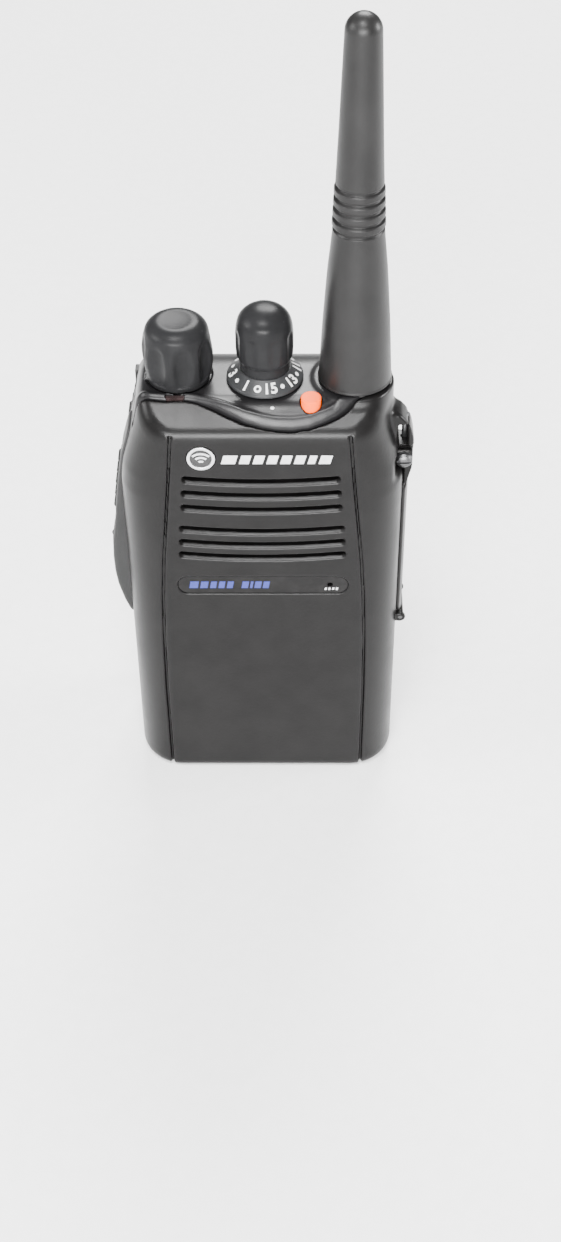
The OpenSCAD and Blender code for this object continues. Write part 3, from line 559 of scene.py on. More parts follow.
def speaker_slots(x, y, z):
    """Curved slots whose lips flare towards the front."""
    flare = np.clip(0.8 - (y - FRONT), 0, 1.2)
    field = np.full_like(x, 50.0)
    for z0, half in slots:
        middle = z0 + x * x / 280 - 0.28 * flare
        thick = 0.62 + 0.32 * flare
        ends = np.maximum(np.abs(x) - half + 0.6, 0)
        field = np.minimum(field, length(ends, z - middle) - thick)
    return np.maximum(field, y - (FRONT + WALL + 1))


def strap_lug(x, y, z):
    """Lug for the strap, on the right above the cover."""
    front = -5.8 - 1.4 * np.clip((z - 83.6) / 1.2, 0, 1)
    lug = smax(x - lug_edge(z), between(y, front, -1.4), 0.8)
    lug = smax(lug, z - 92.4, 1.2)
    lug = smax(lug, 75.4 - z, 0.6)
    return np.maximum(lug, 24.5 - x)


def housing(x, y, z):
    """Front housing: the shell, its openings, screw bosses and hinge ears."""
    outside = body(x, y, z)
    shape = np.maximum(outside, y - RIM)
    # A shallow seat for the cover's ear and its screw
    shape = cut(shape, block(x, y, z, (26.1, FRONT - 3, 79.2), (32, -5.8, 83.8), 1.2), 0.9)
    shape = smin(shape, np.maximum(strap_lug(x, y, z), y - RIM), 1.2)
    beside = np.abs(np.abs(x) - flank_line(z)) - 0.26
    beside = np.maximum(beside, np.maximum(y + 8, z - 92.9))
    shape = engrave(shape, beside, 0.45, 0.35)
    shape = cut(shape, speaker_slots(x, y, z), 0.3)
    plate_hole = np.maximum(rect(x, z - PLATE_Z, PLATE_HALF, PLATE_R, PLATE_R), y - FRONT - 0.6)
    shape = cut(shape, plate_hole, 0.35)
    shape = cut(shape, rod(x - BADGE[0], z - BADGE[1], y, 2.8, FRONT - 2, FRONT + 0.5), 0.15)
    shape = cut(shape, rod(x - MIC_X, z - PLATE_Z, y, 0.6, FRONT - 2, FRONT + 4), 0.15)
    shape = cut(shape, cap_zone(x, y, z) - 0.35, 0.5)
    # Inside of the shell
    hollow = np.maximum(np.maximum(np.abs(x) - (HALF - WALL), FRONT + WALL - y), between(z, 2.2, 77))
    corner = length(np.maximum(np.abs(x) - 19.25, 0), np.maximum(-7 - y, 0)) - 6.5
    upper = np.maximum(np.maximum(np.abs(x) - 23, FRONT + WALL - y), between(z, 76, 90.6))
    corner_up = length(np.maximum(np.abs(x) - 16.5, 0), np.maximum(-7 - y, 0)) - 6.5
    shape = cut(shape, smax(hollow, corner, 0.2), 0.3)
    shape = cut(shape, smax(upper, corner_up, 0.2), 0.3)
    # Windows in the walls
    shape = cut(shape, block(x, y, z, (-30, -6.4, 43.8), (-22.7, 0.2, 86.4), 0.6), 0.2)
    shape = cut(shape, block(x, y, z, (24.7, -6.3, 49.7), (32, -1.2, 66.3), 0.4), 0.2)
    shape = cut(shape, block(x, y, z, (26.5, -8, 84.4), (28.5, 5, 89.6), 0.5), 0.5)
    shape = cut(shape, rod(x - PIN[0], y - PIN[1], z, PIN_R, PIN_Z[0], PIN_Z[1]), 0.05)
    shape = cut(shape, rod(x - COVER_SCREW[0], z - COVER_SCREW[2], y, 1.1, -8, -2.8), 0.1)
    for px, pz in SCREWS:
        boss = rod(x - px, z - pz, y, 2.4, FRONT + WALL - 0.5, RIM)
        shape = smin(shape, np.maximum(boss, outside + 0.8), 0.3)
        shape = np.maximum(shape, -rod(x - px, z - pz, y, 0.9, -4, 4))
    for ear_y in (-8.7, 0.6):
        ear = smax(length(x - HINGE[0], z - HINGE[2]) - 1.1, between(y, ear_y, ear_y + 0.9), 0.3)
        foot = block(x, y, z, (27, ear_y, 38.9), (28.8, ear_y + 0.9, 40.7), 0.1)
        ear = cut(smin(ear, foot, 0.3), length(x - HINGE[0], z - HINGE[2]) - 0.45, 0.05)
        shape = smin(shape, ear, 0.3)
    return shape


mould("front_housing", housing, 0.3, "radio_body")
pin_outline = [(0.01, PIN_Z[0]), (PIN_R, PIN_Z[0]), (PIN_R, PIN_Z[1]), (0.01, PIN_Z[1])]
pin = lathe("strap_pin_turned", pin_outline, PIN, 32)
place(pin, "radio_body", SLOT_OF["strap_pin"], ["strap_pin"])

# ---------------------------------------------------------------- control top

LENS = (span("status_lens")[0] + span("status_lens")[1]) / 2
ALARM = (span("emergency_button")[0] + span("emergency_button")[1]) / 2
MARK = (span("index_mark")[0] + span("index_mark")[1]) / 2


def control_top(x, y, z):
    """Cap over the deck, with its tongue, bores and latch notches."""
    lead = cap_lead(x, y)
    crown = np.sin(np.clip((-8.6 - y) / 6.0, 0, 1) * math.pi) ** 2
    lip = np.exp(-(((lead + 0.9) / 0.55) ** 2)) * np.clip((18 - x) / 3, 0, 1)
    lip = lip * np.clip((x + 25) / 3, 0, 1)
    outside = body(x, y, z) - 0.6 * crown - 0.3 * lip
    shape = smax(outside, cap_zone(x, y, z), 0.6)
    to_vol = length(x - VOL[0], y - VOL[1])
    to_ant = length(x - ANT[0], y - ANT[1])
    to_chan = length(x - CHAN[0], y - CHAN[1])
    shape = cut(shape, np.maximum(to_vol - 6.4, DECK - 0.5 - z), 0.4)
    for x0, y0, x1, y1, z1 in ((-21.6, -8.2, 23, 7, 95.8), (-21.6, 6, 23, 11, 92.6)):
        shape = cut(shape, block(x, y, z, (x0, y0, 80), (x1, y1, z1), 0.3), 0.2)
    shape = cut(shape, np.minimum(np.minimum(to_vol, to_chan) - 3.5, to_ant - 4.1), 0.1)
    to_alarm = length(x - ALARM[0], y - ALARM[1])
    shape = cut(shape, to_alarm - 2.1, 0.25)
    shape = cut(shape, np.maximum(to_alarm - 2.7, z - 93.9), 0.1)
    shape = cut(shape, rect(x - LENS[0], y - LENS[1], 1.85, 0.45, 0.4), 0.1)
    for side in (-1, 1):
        notch = block(x, y, z, (side * 24.75 - 1.1, 7.2, 86), (side * 24.75 + 1.1, 18, 92.3))
        shape = cut(shape, notch, 0.2)
    return shape


mould("control_top", control_top, 0.24, "radio_body", high=span("control_top")[1] + [3, 0.5, 0.5])


def surface_height(field, x, y, low, high):
    """Height at which a field's outside is met, coming down on x, y."""
    heights = np.linspace(high, low, 2000)
    inside = field(np.full_like(heights, x), np.full_like(heights, y), heights) < 0
    return heights[np.argmax(inside)]


def index_mark(x, y, z):
    height = surface_height(control_top, MARK[0], MARK[1] - 0.6, 94, 99)
    return length(x - MARK[0], y - MARK[1] + 0.6, (z - height) * 1.6) - 0.4


mould("index_mark", index_mark, 0.08, "radio_body")

# ---------------------------------------------------------------- knobs and dial

volume_side = profile(
    [(0, 5.9), (0.5, 6.15), (2.2, 6.6), (4.6, 6.9), (6.5, 6.9), (9, 6.5), (11.2, 5.9), (12.4, 5.2)], 1.4
)
channel_side = profile([(0, 4.8), (2, 4.85), (3, 5.5), (5, 5.7), (7.5, 5.7), (9.5, 5.5), (14, 5)], 1)
VOL_FOOT = span("volume_knob")[0][2]
CHAN_FOOT = span("channel_knob")[0][2]


def fluted(x, y, z, centre, count, distance, radius, top, first=0.0):
    """Upright round-topped flutes spaced round a knob."""
    turn = 2 * math.pi / count
    angle = np.arctan2(y - centre[1], x - centre[0]) - first
    angle = (angle + turn / 2) % turn - turn / 2
    out = length(x - centre[0], y - centre[1])
    return length(out * np.cos(angle) - distance, out * np.sin(angle), np.maximum(z - top, 0)) - radius


def volume_knob(x, y, z):
    """Fluted knob with a shallow dish in its top."""
    out = length(x - VOL[0], y - VOL[1])
    high = z - VOL_FOOT
    dish = 13.0 - 0.5 * np.clip(1 - (out / 5.4) ** 2, 0, 1)
    shape = smax(out - volume_side(high), high - dish, 2.4)
    flutes = fluted(x, y, z, VOL, 8, 9.4, 3.4, VOL_FOOT + 8.6, math.radians(12))
    shape = cut(shape, np.maximum(flutes, 1.4 - high), 0.4)
    shape = np.maximum(shape, -high)
    shape = cut(shape, np.maximum(out - 5.1, high - 2.2), 0.2)
    shaft = np.maximum(np.maximum(out - SHAFT_R, x - VOL[0] - SHAFT_FLAT), z - 107)
    return np.maximum(shape, -shaft)


def channel_knob(x, y, z):
    """Fluted knob with a domed top."""
    out = length(x - CHAN[0], y - CHAN[1])
    high = z - CHAN_FOOT
    rise = np.maximum(high - 7.6, 0) / 5.7
    dome = 5.6 * (((out / 5.6) ** 2.4 + rise**2.4) ** (1 / 2.4) - 1)
    shape = smax(out - channel_side(high), dome, 0.6)
    flutes = fluted(x, y, z, CHAN, 8, 7.6, 2.4, CHAN_FOOT + 7.8, math.radians(20))
    shape = cut(shape, np.maximum(flutes, 2.4 - high), 0.4)
    shape = np.maximum(shape, -high)
    shaft = np.maximum(np.maximum(out - SHAFT_R, x - CHAN[0] - SHAFT_FLAT), z - 110)
    return np.maximum(shape, -shaft)


mould("volume_knob", volume_knob, 0.16, "volume")
mould("channel_knob", channel_knob, 0.16, "channel")

DIAL_LOW, DIAL_HIGH = span("channel_dial")
DIAL_R = (DIAL_HIGH[0] - DIAL_LOW[0]) / 2
DIAL_INNER = 4.9
DIAL_EDGE = DIAL_LOW[2] + 0.5


def dial_height(r):
    """Height of the dial's cone at radius r."""
    t = (DIAL_R - r) / (DIAL_R - DIAL_INNER)
    return DIAL_EDGE + np.clip(t, 0, 1) * (DIAL_HIGH[2] - DIAL_EDGE)


def channel_dial(x, y, z):
    """Cone that carries the channel numbers."""
    out = length(x - CHAN[0], y - CHAN[1])
    shape = smax(out - DIAL_R, (z - dial_height(out)) * 0.8, 0.25)
    shape = np.maximum(shape, DIAL_LOW[2] - z)
    shape = np.maximum(shape, -np.maximum(out - DIAL_INNER, z - DIAL_LOW[2] - 1.6))
    shaft = np.maximum(out - SHAFT_R, x - CHAN[0] - SHAFT_FLAT)
    return np.maximum(shape, -shaft)


mould("channel_dial", channel_dial, 0.14, "channel")

CHANNELS = 16
POINTER = math.degrees(math.atan2(MARK[1] - CHAN[1], MARK[0] - CHAN[0]))


def text_points(text, size):
    """Vertices and faces of a word lying flat, centred, in millimetres."""
    curve = bpy.data.curves.new("figure", "FONT")
    curve.body = text
    curve.size = size
    curve.align_x = "CENTER"
    curve.align_y = "CENTER"
    curve.extrude = 0.05
    curve.offset = 0.07
    curve.resolution_u = 3
    holder = bpy.data.objects.new("figure", curve)
    mesh = bpy.data.meshes.new_from_object(holder)
    points = np.array([v.co for v in mesh.vertices])
    faces = [list(p.vertices) for p in mesh.polygons]
    bpy.data.objects.remove(holder)
    bpy.data.meshes.remove(mesh)
    return points, faces


def ring_points(radius, hole):
    """A dot, or a ring if hole isn't zero, lying flat, in millimetres."""
    n = 20
    turn = np.arange(n) * 2 * math.pi / n
    circle = np.stack([np.cos(turn), np.sin(turn)], 1)
    levels = [(radius, -0.05), (radius, 0.05), (hole, 0.05), (hole, -0.05)]
    points = np.concatenate([np.column_stack([circle * r, np.full(n, h)]) for r, h in levels])
    faces = []
    for level in range(4):
        for i in range(n):
            a, b = level * n, (level + 1) % 4 * n
            faces.append([a + i, a + (i + 1) % n, b + (i + 1) % n, b + i])
    return points, faces


def dial_figures():
    """Odd numbers, dots between them, and a ring for the last channel, laid on the cone."""
    verts, faces = [], []
    middle = (DIAL_R + DIAL_INNER) / 2 + 0.1
    for channel in range(1, CHANNELS + 1):
        if channel % 2:
            points, polygons = text_points(str(channel), 2.8)
        else:
            points, polygons = ring_points(0.7 if channel == CHANNELS else 0.42,
                                           0.36 if channel == CHANNELS else 0.001)
        angle = math.radians(POINTER + (CHANNELS - 1 - channel) * 360 / CHANNELS)
        base = len(verts)
        for u, v, w in points:
            r = middle - v * 0.8
            turn = angle + u / middle
            high = dial_height(r) + w + 0.01
            verts.append([(CHAN[0] + r * math.cos(turn)) * MM, (CHAN[1] + r * math.sin(turn)) * MM,
                          high * MM])
        faces += [[base + i for i in polygon] for polygon in polygons]
    mesh = bpy.data.meshes.new("dial_figures")
    mesh.from_pydata(verts, [], faces)
    obj = bpy.data.objects.new("dial_figures", mesh)
    bpy.context.scene.collection.objects.link(obj)
    return place(obj, "channel", "white_mark")


dial_figures()

# ---------------------------------------------------------------- emergency button

BUTTON_TOP = span("emergency_button")[1][2]


def emergency_button(x, y, z):
    """Button with a flange and a stem under the cap."""
    out = length(x - ALARM[0], y - ALARM[1])
    shape = smax(out - 1.95, z - BUTTON_TOP, 0.35)
    shape = np.maximum(shape, 93.5 - z)
    flange = np.maximum(out - 2.4, between(z, 92.3, 93.5))
    stem = np.maximum(out - 1.2, between(z, 90.9, 92.4))
    return np.minimum(np.minimum(shape, flange), stem)


mould("emergency_button", emergency_button, 0.12, "emergency")

# ---------------------------------------------------------------- antenna

ANT_FOOT = span("antenna_sheath")[0][2]
ANT_TOP = span("antenna_sheath")[1][2]
RINGS = [131.7, 133.8, 135.9, 138.0]
RING_HIGH = 1.55
antenna_side = profile(
    [(98, 7.0), (102, 6.8), (111, 6.35), (122.6, 5.55), (130, 4.8), (138, 4.45), (149.4, 3.95),
     (160, 3.55), (171.3, 3.1)], 4
)


def antenna_outline():
    """Outline of the sheath from the foot's hollow, up the outside, to the tip."""
    outline = [(2.45, ANT_FOOT + 4), (4.0, ANT_FOOT + 3), (4.0, ANT_FOOT), (6.6, ANT_FOOT)]
    outline += [(7.1 - 0.35 * (1 - math.sin(a)), ANT_FOOT + 0.35 * (1 - math.cos(a)))
                for a in np.linspace(0.2, math.pi / 2, 4)]
    tip = 3.1
    for z in np.arange(ANT_FOOT + 0.6, ANT_TOP - tip * 1.02, 0.12):
        r = float(antenna_side(z))
        lead = min((abs(z - ring - RING_HIGH / 2) for ring in RINGS), default=9)
        near_rings = RINGS[0] - 0.55 < z < RINGS[-1] + RING_HIGH + 0.55
        if near_rings:
            ridge = np.clip((RING_HIGH / 2 - lead) / 0.28, 0, 1)
            r += -0.38 + 0.55 * math.sin(ridge * math.pi / 2)
        outline.append((r, z))
    top = float(antenna_side(ANT_TOP - tip))
    outline += [(top * math.cos(a), ANT_TOP - tip + tip * math.sin(a))
                for a in np.linspace(0.03, math.pi / 2 - 0.001, 18)]
    return outline


antenna = lathe("antenna_sheath_moulding", antenna_outline(), ANT, 128)
place(antenna, "antenna", SLOT_OF["antenna_sheath"], ["antenna_sheath"])

# ---------------------------------------------------------------- side bezel and keys

bezel_edge = profile(
    [(39, -27.7), (40.2, -28.5), (43, -29.5), (47.5, -30.6), (51, -31), (55, -31.1), (59, -30.9),
     (63, -30.3), (68, -29.7), (74, -28.95), (79, -28.2), (82, -27.7), (85, -26.9), (89, -25.8)], 2
)
KEY_Y = (-5.4, -0.8)
KEYS = {"ptt_button": (65.2, 81.6), "side_button_1": (55.6, 62.2), "side_button_2": (46.4, 53.0)}


def key_opening(y, z, low, high, grow, r):
    """Outline of a side key, grown all round."""
    mid_y, mid_z = sum(KEY_Y) / 2, (low + high) / 2
    half_y = (KEY_Y[1] - KEY_Y[0]) / 2 + grow
    return rect(y - mid_y, z - mid_z, half_y, (high - low) / 2 + grow, r)


def side_bezel(x, y, z):
    """Raised frame round the three side keys."""
    side = (bezel_edge(z) - x) * 0.97
    shape = smax(side, rect(y + 3.1, z - 63.75, 3.8, 24.75, 1.8), 1.0)
    shape = np.maximum(shape, -body(x, y, z) - 0.4)
    frame_in = block(x, y, z, (-27.9, -6.3, 43.9), (-27.1, 0.1, 82.5), 0.1)
    above = block(x, y, z, (-28.5, -6.3, 82.4), (-25.9, 0.1, 86.3), 0.1)
    shape = np.minimum(shape, np.maximum(np.minimum(frame_in, above), side + 0.4))
    for low, high in KEYS.values():
        shape = cut(shape, key_opening(y, z, low, high, 0.25, 1.9), 0.35)
    return shape


def key_field(span_z, proud, ribs=(), dots=()):
    """Side key: a pad through the bezel with a flange behind it, raised ribs or dots."""
    low, high = span_z

    def field(x, y, z):
        front = bezel_edge(z) - proud
        shape = smax(key_opening(y, z, low, high, 0, 1.7), front - x, 0.9)
        shape = np.maximum(shape, x + 26.6)
        flange = block(x, y, z, (-26.9, KEY_Y[0] - 0.55, low - 0.55),
                       (-26.6, KEY_Y[1] + 0.55, high + 0.55), 0.1)
        shape = np.minimum(shape, flange)
        for rib in ribs:
            face = float(bezel_edge(rib)) - proud
            bar = block(x, y, z - rib, (face - 0.35, -4.7, -0.45), (face + 0.6, -1.5, 0.45), 0.3)
            shape = smin(shape, bar, 0.3)
        for dot in dots:
            face = float(bezel_edge(dot)) - proud
            shape = smin(shape, ball(x, y, z, (face + 0.3, -3.1, dot), 0.6), 0.25)
        return shape

    return field


mould("side_bezel", side_bezel, 0.2, "radio_body")
ptt_ribs = [sum(KEYS["ptt_button"]) / 2 + 2.9 * i for i in range(-2, 3)]
mould("ptt_button", key_field(KEYS["ptt_button"], 0.1, ribs=ptt_ribs), 0.16, "ptt")
mould("side_button_1", key_field(KEYS["side_button_1"], 0.15, dots=[58.9]), 0.16, "side_key_1")
mould("side_button_2", key_field(KEYS["side_button_2"], 0.15, dots=[48.7, 50.7]), 0.16, "side_key_2")

# ---------------------------------------------------------------- socket cover


def connector_cover(x, y, z):
    """Cover over the socket, hinged at its foot, with an ear for its screw."""
    panel = rect(y + 3.6, z - 57.5, 4.0, 17.6, 1.2)
    panel = smax(panel, x - 29.0 + 0.2 * np.clip(-5.2 - y, 0, 9) ** 1.4, 0.5)
    panel = np.maximum(panel, 27.9 - 0.14 * np.clip(-6.4 - y, 0, 1) - x)
    panel = np.maximum(panel, 39.8 - z)
    panel = np.maximum(panel, z - 75)
    barrel = np.maximum(length(x - HINGE[0], z - HINGE[2]) - 0.75, between(y, -7.6, 0.4))
    shape = smin(panel, barrel, 0.2)
    shape = np.minimum(shape, block(x, y, z, (26.4, -5.2, 51.2), (28.1, -2.3, 64.8), 0.3))
    ear = block(x, y, z, (27.9, -6.95, 73), (29.7, -5.95, 83.2), 0.4)
    ear = smax(ear, x - 29.7 + 0.24 * np.clip(79.5 - z, 0, 9), 0.3)
    ear = smin(ear, block(x, y, z, (26.2, -6.95, 79.5), (29.2, -5.95, 83.2), 0.45), 0.3)
    shape = smin(shape, ear, 0.5)
    shape = np.maximum(shape, -(length(x - HINGE[0], z - HINGE[2]) - 0.51))
    hole = length(x - COVER_SCREW[0], z - COVER_SCREW[2]) - 1.1
    slot = np.minimum(hole, block(x, y, z, (20, -9, 80.3), (27.9, -4, 82.5)))
    return cut(shape, np.maximum(slot, y + 4), 0.1)


mould("connector_cover", connector_cover, 0.18, "socket_cover")

# ---------------------------------------------------------------- battery pack

pack_back = profile(
    [(0, 12.6), (1.4, 14.0), (3.5, 14.9), (17, 15.0), (19.8, 14.72), (22.5, 15.0), (27, 15.5),
     (79, 15.5), (84, 14.95), (87.4, 13.9), (90, 12.2)], 2.5
)
CHARGE_X = [-19, -11.5, 4, 12.9]
CHARGE_Z = 9.5
LATCH_Y, LATCH_Z0, LATCH_LEN = 9.3, 68.6, 16.2
PACK_EDGE_R = 3.4
PACK_HOLLOW = ((-23.6, 0, 6), (23.6, 13.4, 83.5))
EMBLEM_Z, EMBLEM_R = 53, 7.1
PACK_HALF = (PACK_HIGH[0] - PACK_LOW[0]) / 2
pack_side = profile(
    [(0, PACK_HALF), (75, PACK_HALF), (80, 26.9), (84, 26.3), (87, 25.6), (90.5, 24.7)], 3
)


def battery_case(x, y, z):
    """Outer half of the pack, with contact troughs and latch tracks."""
    depth = pack_back(z)
    qx = np.abs(x) - (pack_side(z) - PACK_EDGE_R)
    qy = y - (depth - PACK_EDGE_R)
    plan = length(np.maximum(qx, 0), np.maximum(qy, 0))
    plan = plan + np.minimum(np.maximum(qx, qy), 0) - PACK_EDGE_R
    shape = smax(plan, between(z, PACK_LOW[2], PACK_HIGH[2]), 1.6)
    shape = np.maximum(shape, PACK_LOW[1] - y)
    shape = cut(shape, block(x, y, z, *PACK_HOLLOW, 0.3), 0.2)
    for cx in CHARGE_X:
        out = length(np.abs(x - cx), np.maximum(z - CHARGE_Z, 0))
        trough = np.maximum(out - 3.2, 13.85 + 0.19 * np.clip(CHARGE_Z - z - 1, 0, 9) - y)
        shape = cut(shape, np.maximum(trough, 4.2 - z), 0.5)
        shape = cut(shape, rod(x - cx, z - CHARGE_Z, y, 0.8, 13, 16), 0.05)
    for side in (-1, 1):
        track = block(x * side, y, z, (25.05, LATCH_Y - 2.75, LATCH_Z0 - 4.4),
                      (30, LATCH_Y + 2.75, LATCH_Z0 + LATCH_LEN + 0.4), 0.6)
        nose = block(x * side, y, z, (24, LATCH_Y - 1.5, 80), (30, LATCH_Y + 1.5, 93), 0.3)
        scoop = ball(x * side, y, z, (38.6, 13, 76), 13)
        line = block(x * side, y, z, (26.7, 8.8, -3), (30, 9.6, 20), 0.2)
        skirt = block(x * side, y, z, (26.2, LATCH_Y - 2.5, LATCH_Z0 - 8.6), (26.7, LATCH_Y + 2.5, 70))
        for room, k in ((scoop, 1.0), (track, 0.3), (nose, 0.3), (line, 0.3), (skirt, 0.05)):
            shape = cut(shape, room, k)
    return shape


def latch_field(side):
    """Latch of one side: ribbed grip, skirt and nose."""
    def field(x, y, z):
        out = x * side
        grip = rect(y - LATCH_Y, z - LATCH_Z0 - LATCH_LEN / 2, 2.5, LATCH_LEN / 2, 2.0)
        face = pack_side(z) + 0.1
        shape = smax(grip, out - face, 0.5)
        shape = np.maximum(shape, 25.1 - out)
        for i in range(5):
            rib = block(out - face, y, z - LATCH_Z0 - 4.05 - 2.2 * i, (-0.4, LATCH_Y - 2, -0.45),
                        (0.45, LATCH_Y + 2, 0.45), 0.35)
            shape = smin(shape, rib, 0.3)
        nose = block(out, y, z, (24.2, LATCH_Y - 1.2, LATCH_Z0 + LATCH_LEN - 2.5),
                     (25.3, LATCH_Y + 1.2, 91.6), 0.25)
        skirt = block(out, y, z, (26.25, LATCH_Y - 2.4, LATCH_Z0 - 4.3), (26.6, LATCH_Y + 2.4, 72), 0.1)
        return smin(np.minimum(shape, skirt), nose, 0.1)

    return field


def charging_contacts(x, y, z):
    """Four round pads on pins."""
    shape = np.full_like(x, 50.0)
    for cx in CHARGE_X:
        out = length(x - cx, z - CHARGE_Z)
        pad = smax(out - 2.7, between(y, 14.0, 14.45), 0.25)
        shape = np.minimum(shape, np.minimum(pad, np.maximum(out - 0.8, between(y, 6.6, 14.1))))
    return shape


def trimmed(node, width, piece_body):
    """CAD node cut to the width that the moulded shell has at each height."""
    heights = np.arange(-2, 96, 1.0)
    right = [(float(width(z)), z) for z in heights]
    outline = right + [(-x, z) for x, z in right[::-1]]
    cutter = plate("cutter", [outline], 25, -25)
    obj = bpy.data.objects.new(node + "_trimmed", NODES[node].data.copy())
    bpy.context.scene.collection.objects.link(obj)
    trim = obj.modifiers.new("trim", "BOOLEAN")
    trim.operation = "INTERSECT"
    trim.object = cutter
    graph = bpy.context.evaluated_depsgraph_get()
    obj.data = bpy.data.meshes.new_from_object(obj.evaluated_get(graph))
    obj.modifiers.clear()
    bpy.data.objects.remove(cutter)
    place(obj, piece_body, SLOT_OF[node], [node])


trimmed("chassis", lambda z: half_width(z) - 0.5, "radio_body")
trimmed("housing_seal", lambda z: half_width(z) - 0.25, "radio_body")
trimmed("battery_lid", lambda z: pack_side(z) - 0.3, "battery")
mould("battery_case", battery_case, 0.3, "battery")


def pack_emblem(x, y, z):
    """Plain raised ring on the pack's outer face."""
    return smax(np.abs(length(x, z - EMBLEM_Z) - EMBLEM_R) - 0.45, between(y, 15.3, 15.62), 0.2)


emblem = mesh_object("pack_emblem", *surface(pack_emblem, (-8.2, 15, 44.8), (8.2, 16, 61.2), 0.11))
place(emblem, "battery", "pack_plastic")
for latch, side in (("latch_left", -1), ("latch_right", 1)):
    mould(latch, latch_field(side), 0.16, "pack_" + latch, low=span(latch)[0] - [1.2, 1.2, 5.5])
for latch, side in (("left", -1), ("right", 1)):
    node, joint = "latch_spring_" + latch, "latch_" + latch + "_slide"
    spring = bpy.data.objects.new(node + "_wire", NODES[node].data.copy())
    bpy.context.scene.collection.objects.link(spring)
    place(spring, "battery", SLOT_OF[node], [node])
    low, high = span(node)
    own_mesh(spring)
mould("charging_contacts", charging_contacts, 0.14, "battery")

# ---------------------------------------------------------------- printed marks and badge


def slanted_bar(x0, x1, z0, z1, lean):
    """Parallelogram as (x, z) points."""
    return [(x0, z0), (x1, z0), (x1 + lean, z1), (x0 + lean, z1)]


def arc_band(cx, cz, r0, r1, start, end, steps=14):
    """Curved band between two radii as (x, z) points."""
    turns = np.radians(np.linspace(start, end, steps))
    outer = [(cx + r1 * math.cos(a), cz + r1 * math.sin(a)) for a in turns]
    inner = [(cx + r0 * math.cos(a), cz + r0 * math.sin(a)) for a in turns[::-1]]
    return outer + inner


def printed_marks():
    """Plain bars where the maker's and the model's names would be."""
    widths = [2.7, 1.9, 1.9, 1.9, 1.9, 1.9, 1.4, 2.2]
    gap = 0.72
    bars = []
    x = -7.6
    for width in widths:
        bars.append(slanted_bar(x, x + width, 86.9, 88.9, 0.55))
        x += width + gap
    white = plate("front_bars", bars, FRONT + 0.01, FRONT - 0.03)
    place(white, "radio_body", "white_mark")
    blue_y = FRONT + 0.25
    bars = [slanted_bar(x0, x1, 54.4, 56.2, 0.3)
            for x0, x1 in ((-15, -13.3), (-12.8, -11.3), (-10.8, -9.6), (-9.1, -7.9), (-7.4, -6.2),
                           (-4.4, -3.1), (-2.7, -2.2), (-1.8, -0.5), (-0.1, 1.1))]
    blue = plate("plate_bars", bars, blue_y + 0.01, blue_y - 0.03)
    blue.data.materials.append(MATERIALS["blue_mark"])
    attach(blue, "radio_body")
    starts = [MIC_X - 1.1 + 0.75 * i for i in range(4)]
    dots = [slanted_bar(x0, x0 + 0.4, 53.9, 54.5, 0.1) for x0 in starts]
    small = plate("microphone_bars", dots, blue_y + 0.01, blue_y - 0.03)
    place(small, "radio_body", "white_mark")


def front_badge():
    """Plain ring with three rising arcs inside."""
    def field(x, y, z):
        out = length(x - BADGE[0], z - BADGE[1])
        return smax(np.abs(out - 2.4) - 0.3, between(y, FRONT - 0.22, FRONT + 0.4), 0.12)

    mould("front_badge", field, 0.09, "radio_body")
    turns = np.linspace(0, 2 * math.pi, 49)[:-1]
    disc = [(BADGE[0] + 2.5 * math.cos(a), BADGE[1] + 2.5 * math.sin(a)) for a in turns]
    back = plate("badge_back", [disc], FRONT + 0.45, FRONT + 0.12)
    place(back, "radio_body", "seal_rubber")
    arcs = [arc_band(BADGE[0], BADGE[1] - 1.25, r - 0.22, r + 0.22, 48, 132) for r in (0.6, 1.5, 2.4)]
    obj = plate("badge_arcs", arcs, FRONT + 0.11, FRONT - 0.1)
    place(obj, "radio_body", "badge_metal")


printed_marks()
front_badge()

# ---------------------------------------------------------------- floor, lights and camera


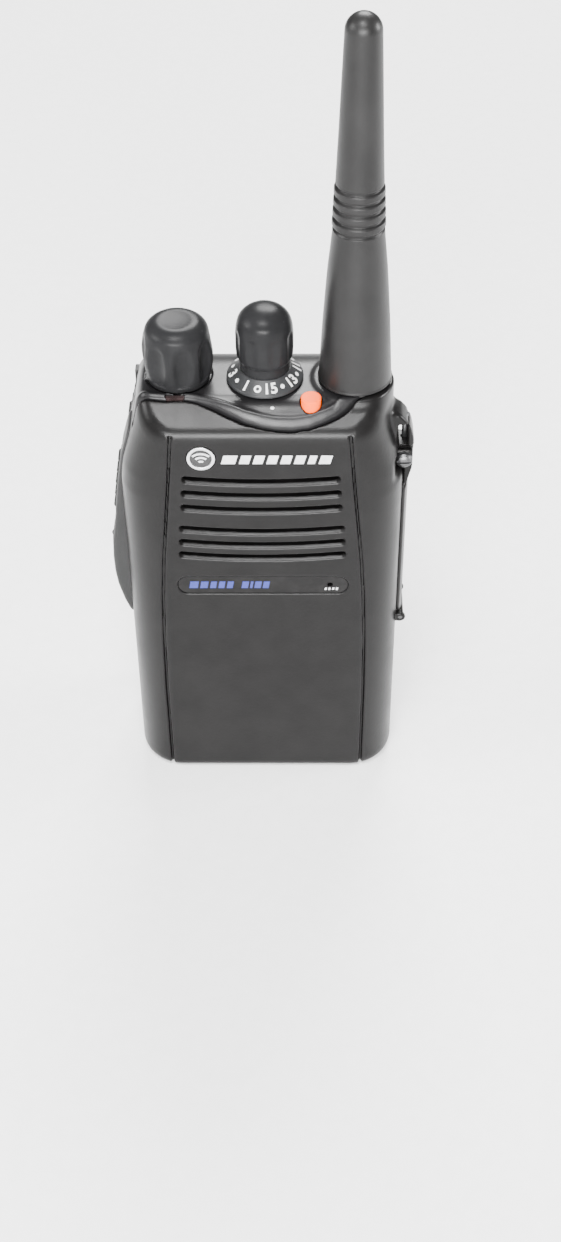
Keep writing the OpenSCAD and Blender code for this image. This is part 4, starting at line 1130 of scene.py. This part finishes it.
def stage():
    """Pale floor, and a bright even surrounding light."""
    bpy.ops.mesh.primitive_plane_add(size=8, location=(0, 0, 0))
    floor = bpy.context.object
    floor.name = "floor"
    finish = Finish("floor_paper", (0.78, 0.78, 0.78), 0.8, specular=0.1)
    grain = finish.noise(300, 3)
    finish.paint(finish.remap(grain, 0.3, 0.7, 0, 1), (0.75, 0.75, 0.75))
    floor.data.materials.append(finish.material)
    floor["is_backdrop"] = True
    world = bpy.data.worlds.new("surround")
    world.use_nodes = True
    world.node_tree.nodes["Background"].inputs["Color"].default_value = (1, 1, 1, 1)
    world.node_tree.nodes["Background"].inputs["Strength"].default_value = 0.22
    bpy.context.scene.world = world


def soft_light(name, at, target, size, power):
    light = bpy.data.lights.new(name, "AREA")
    light.shape = "RECTANGLE"
    light.size, light.size_y = size
    light.energy = power
    obj = bpy.data.objects.new(name, light)
    bpy.context.scene.collection.objects.link(obj)
    obj.location = at
    obj.rotation_euler = (Vector(target) - Vector(at)).to_track_quat("-Z", "Y").to_euler()
    return obj


CAMERA_AT = (0.0075, -0.2838, 0.3035)
CAMERA_DOWN = 43.9
CAMERA_ROLL = 0.62
CAMERA_LENS = 52.2


def camera():
    """Camera at the photograph's place: above and in front, looking down on the radio."""
    data = bpy.data.cameras.new("camera")
    data.sensor_width = 36
    data.lens = CAMERA_LENS
    data.clip_start, data.clip_end = 0.02, 20
    obj = bpy.data.objects.new("camera", data)
    bpy.context.scene.collection.objects.link(obj)
    tilt = Matrix.Rotation(math.radians(90 - CAMERA_DOWN), 4, "X")
    turn = Matrix.Rotation(math.radians(CAMERA_ROLL), 4, "Y")
    obj.matrix_world = Matrix.Translation(CAMERA_AT) @ tilt @ turn
    bpy.context.scene.camera = obj


stage()
soft_light("overhead", (-0.08, -0.38, 1.0), (0, 0, 0.08), (0.4, 0.25), 22)
soft_light("behind", (0.1, 1.0, 0.95), (0, 0, 0.08), (0.6, 0.42), 42)
soft_light("front", (-0.1, -1.15, 0.45), (0, 0, 0.08), (0.8, 0.16), 60)
soft_light("left", (-1.05, -0.15, 0.6), (0, 0, 0.08), (0.5, 0.4), 16)
soft_light("side", (1.0, 0.15, 0.35), (0, 0, 0.07), (0.4, 0.3), 20)
camera()

sizes = [[[float(c) for c in corner] for corner in box] for box in (cad_box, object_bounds())]
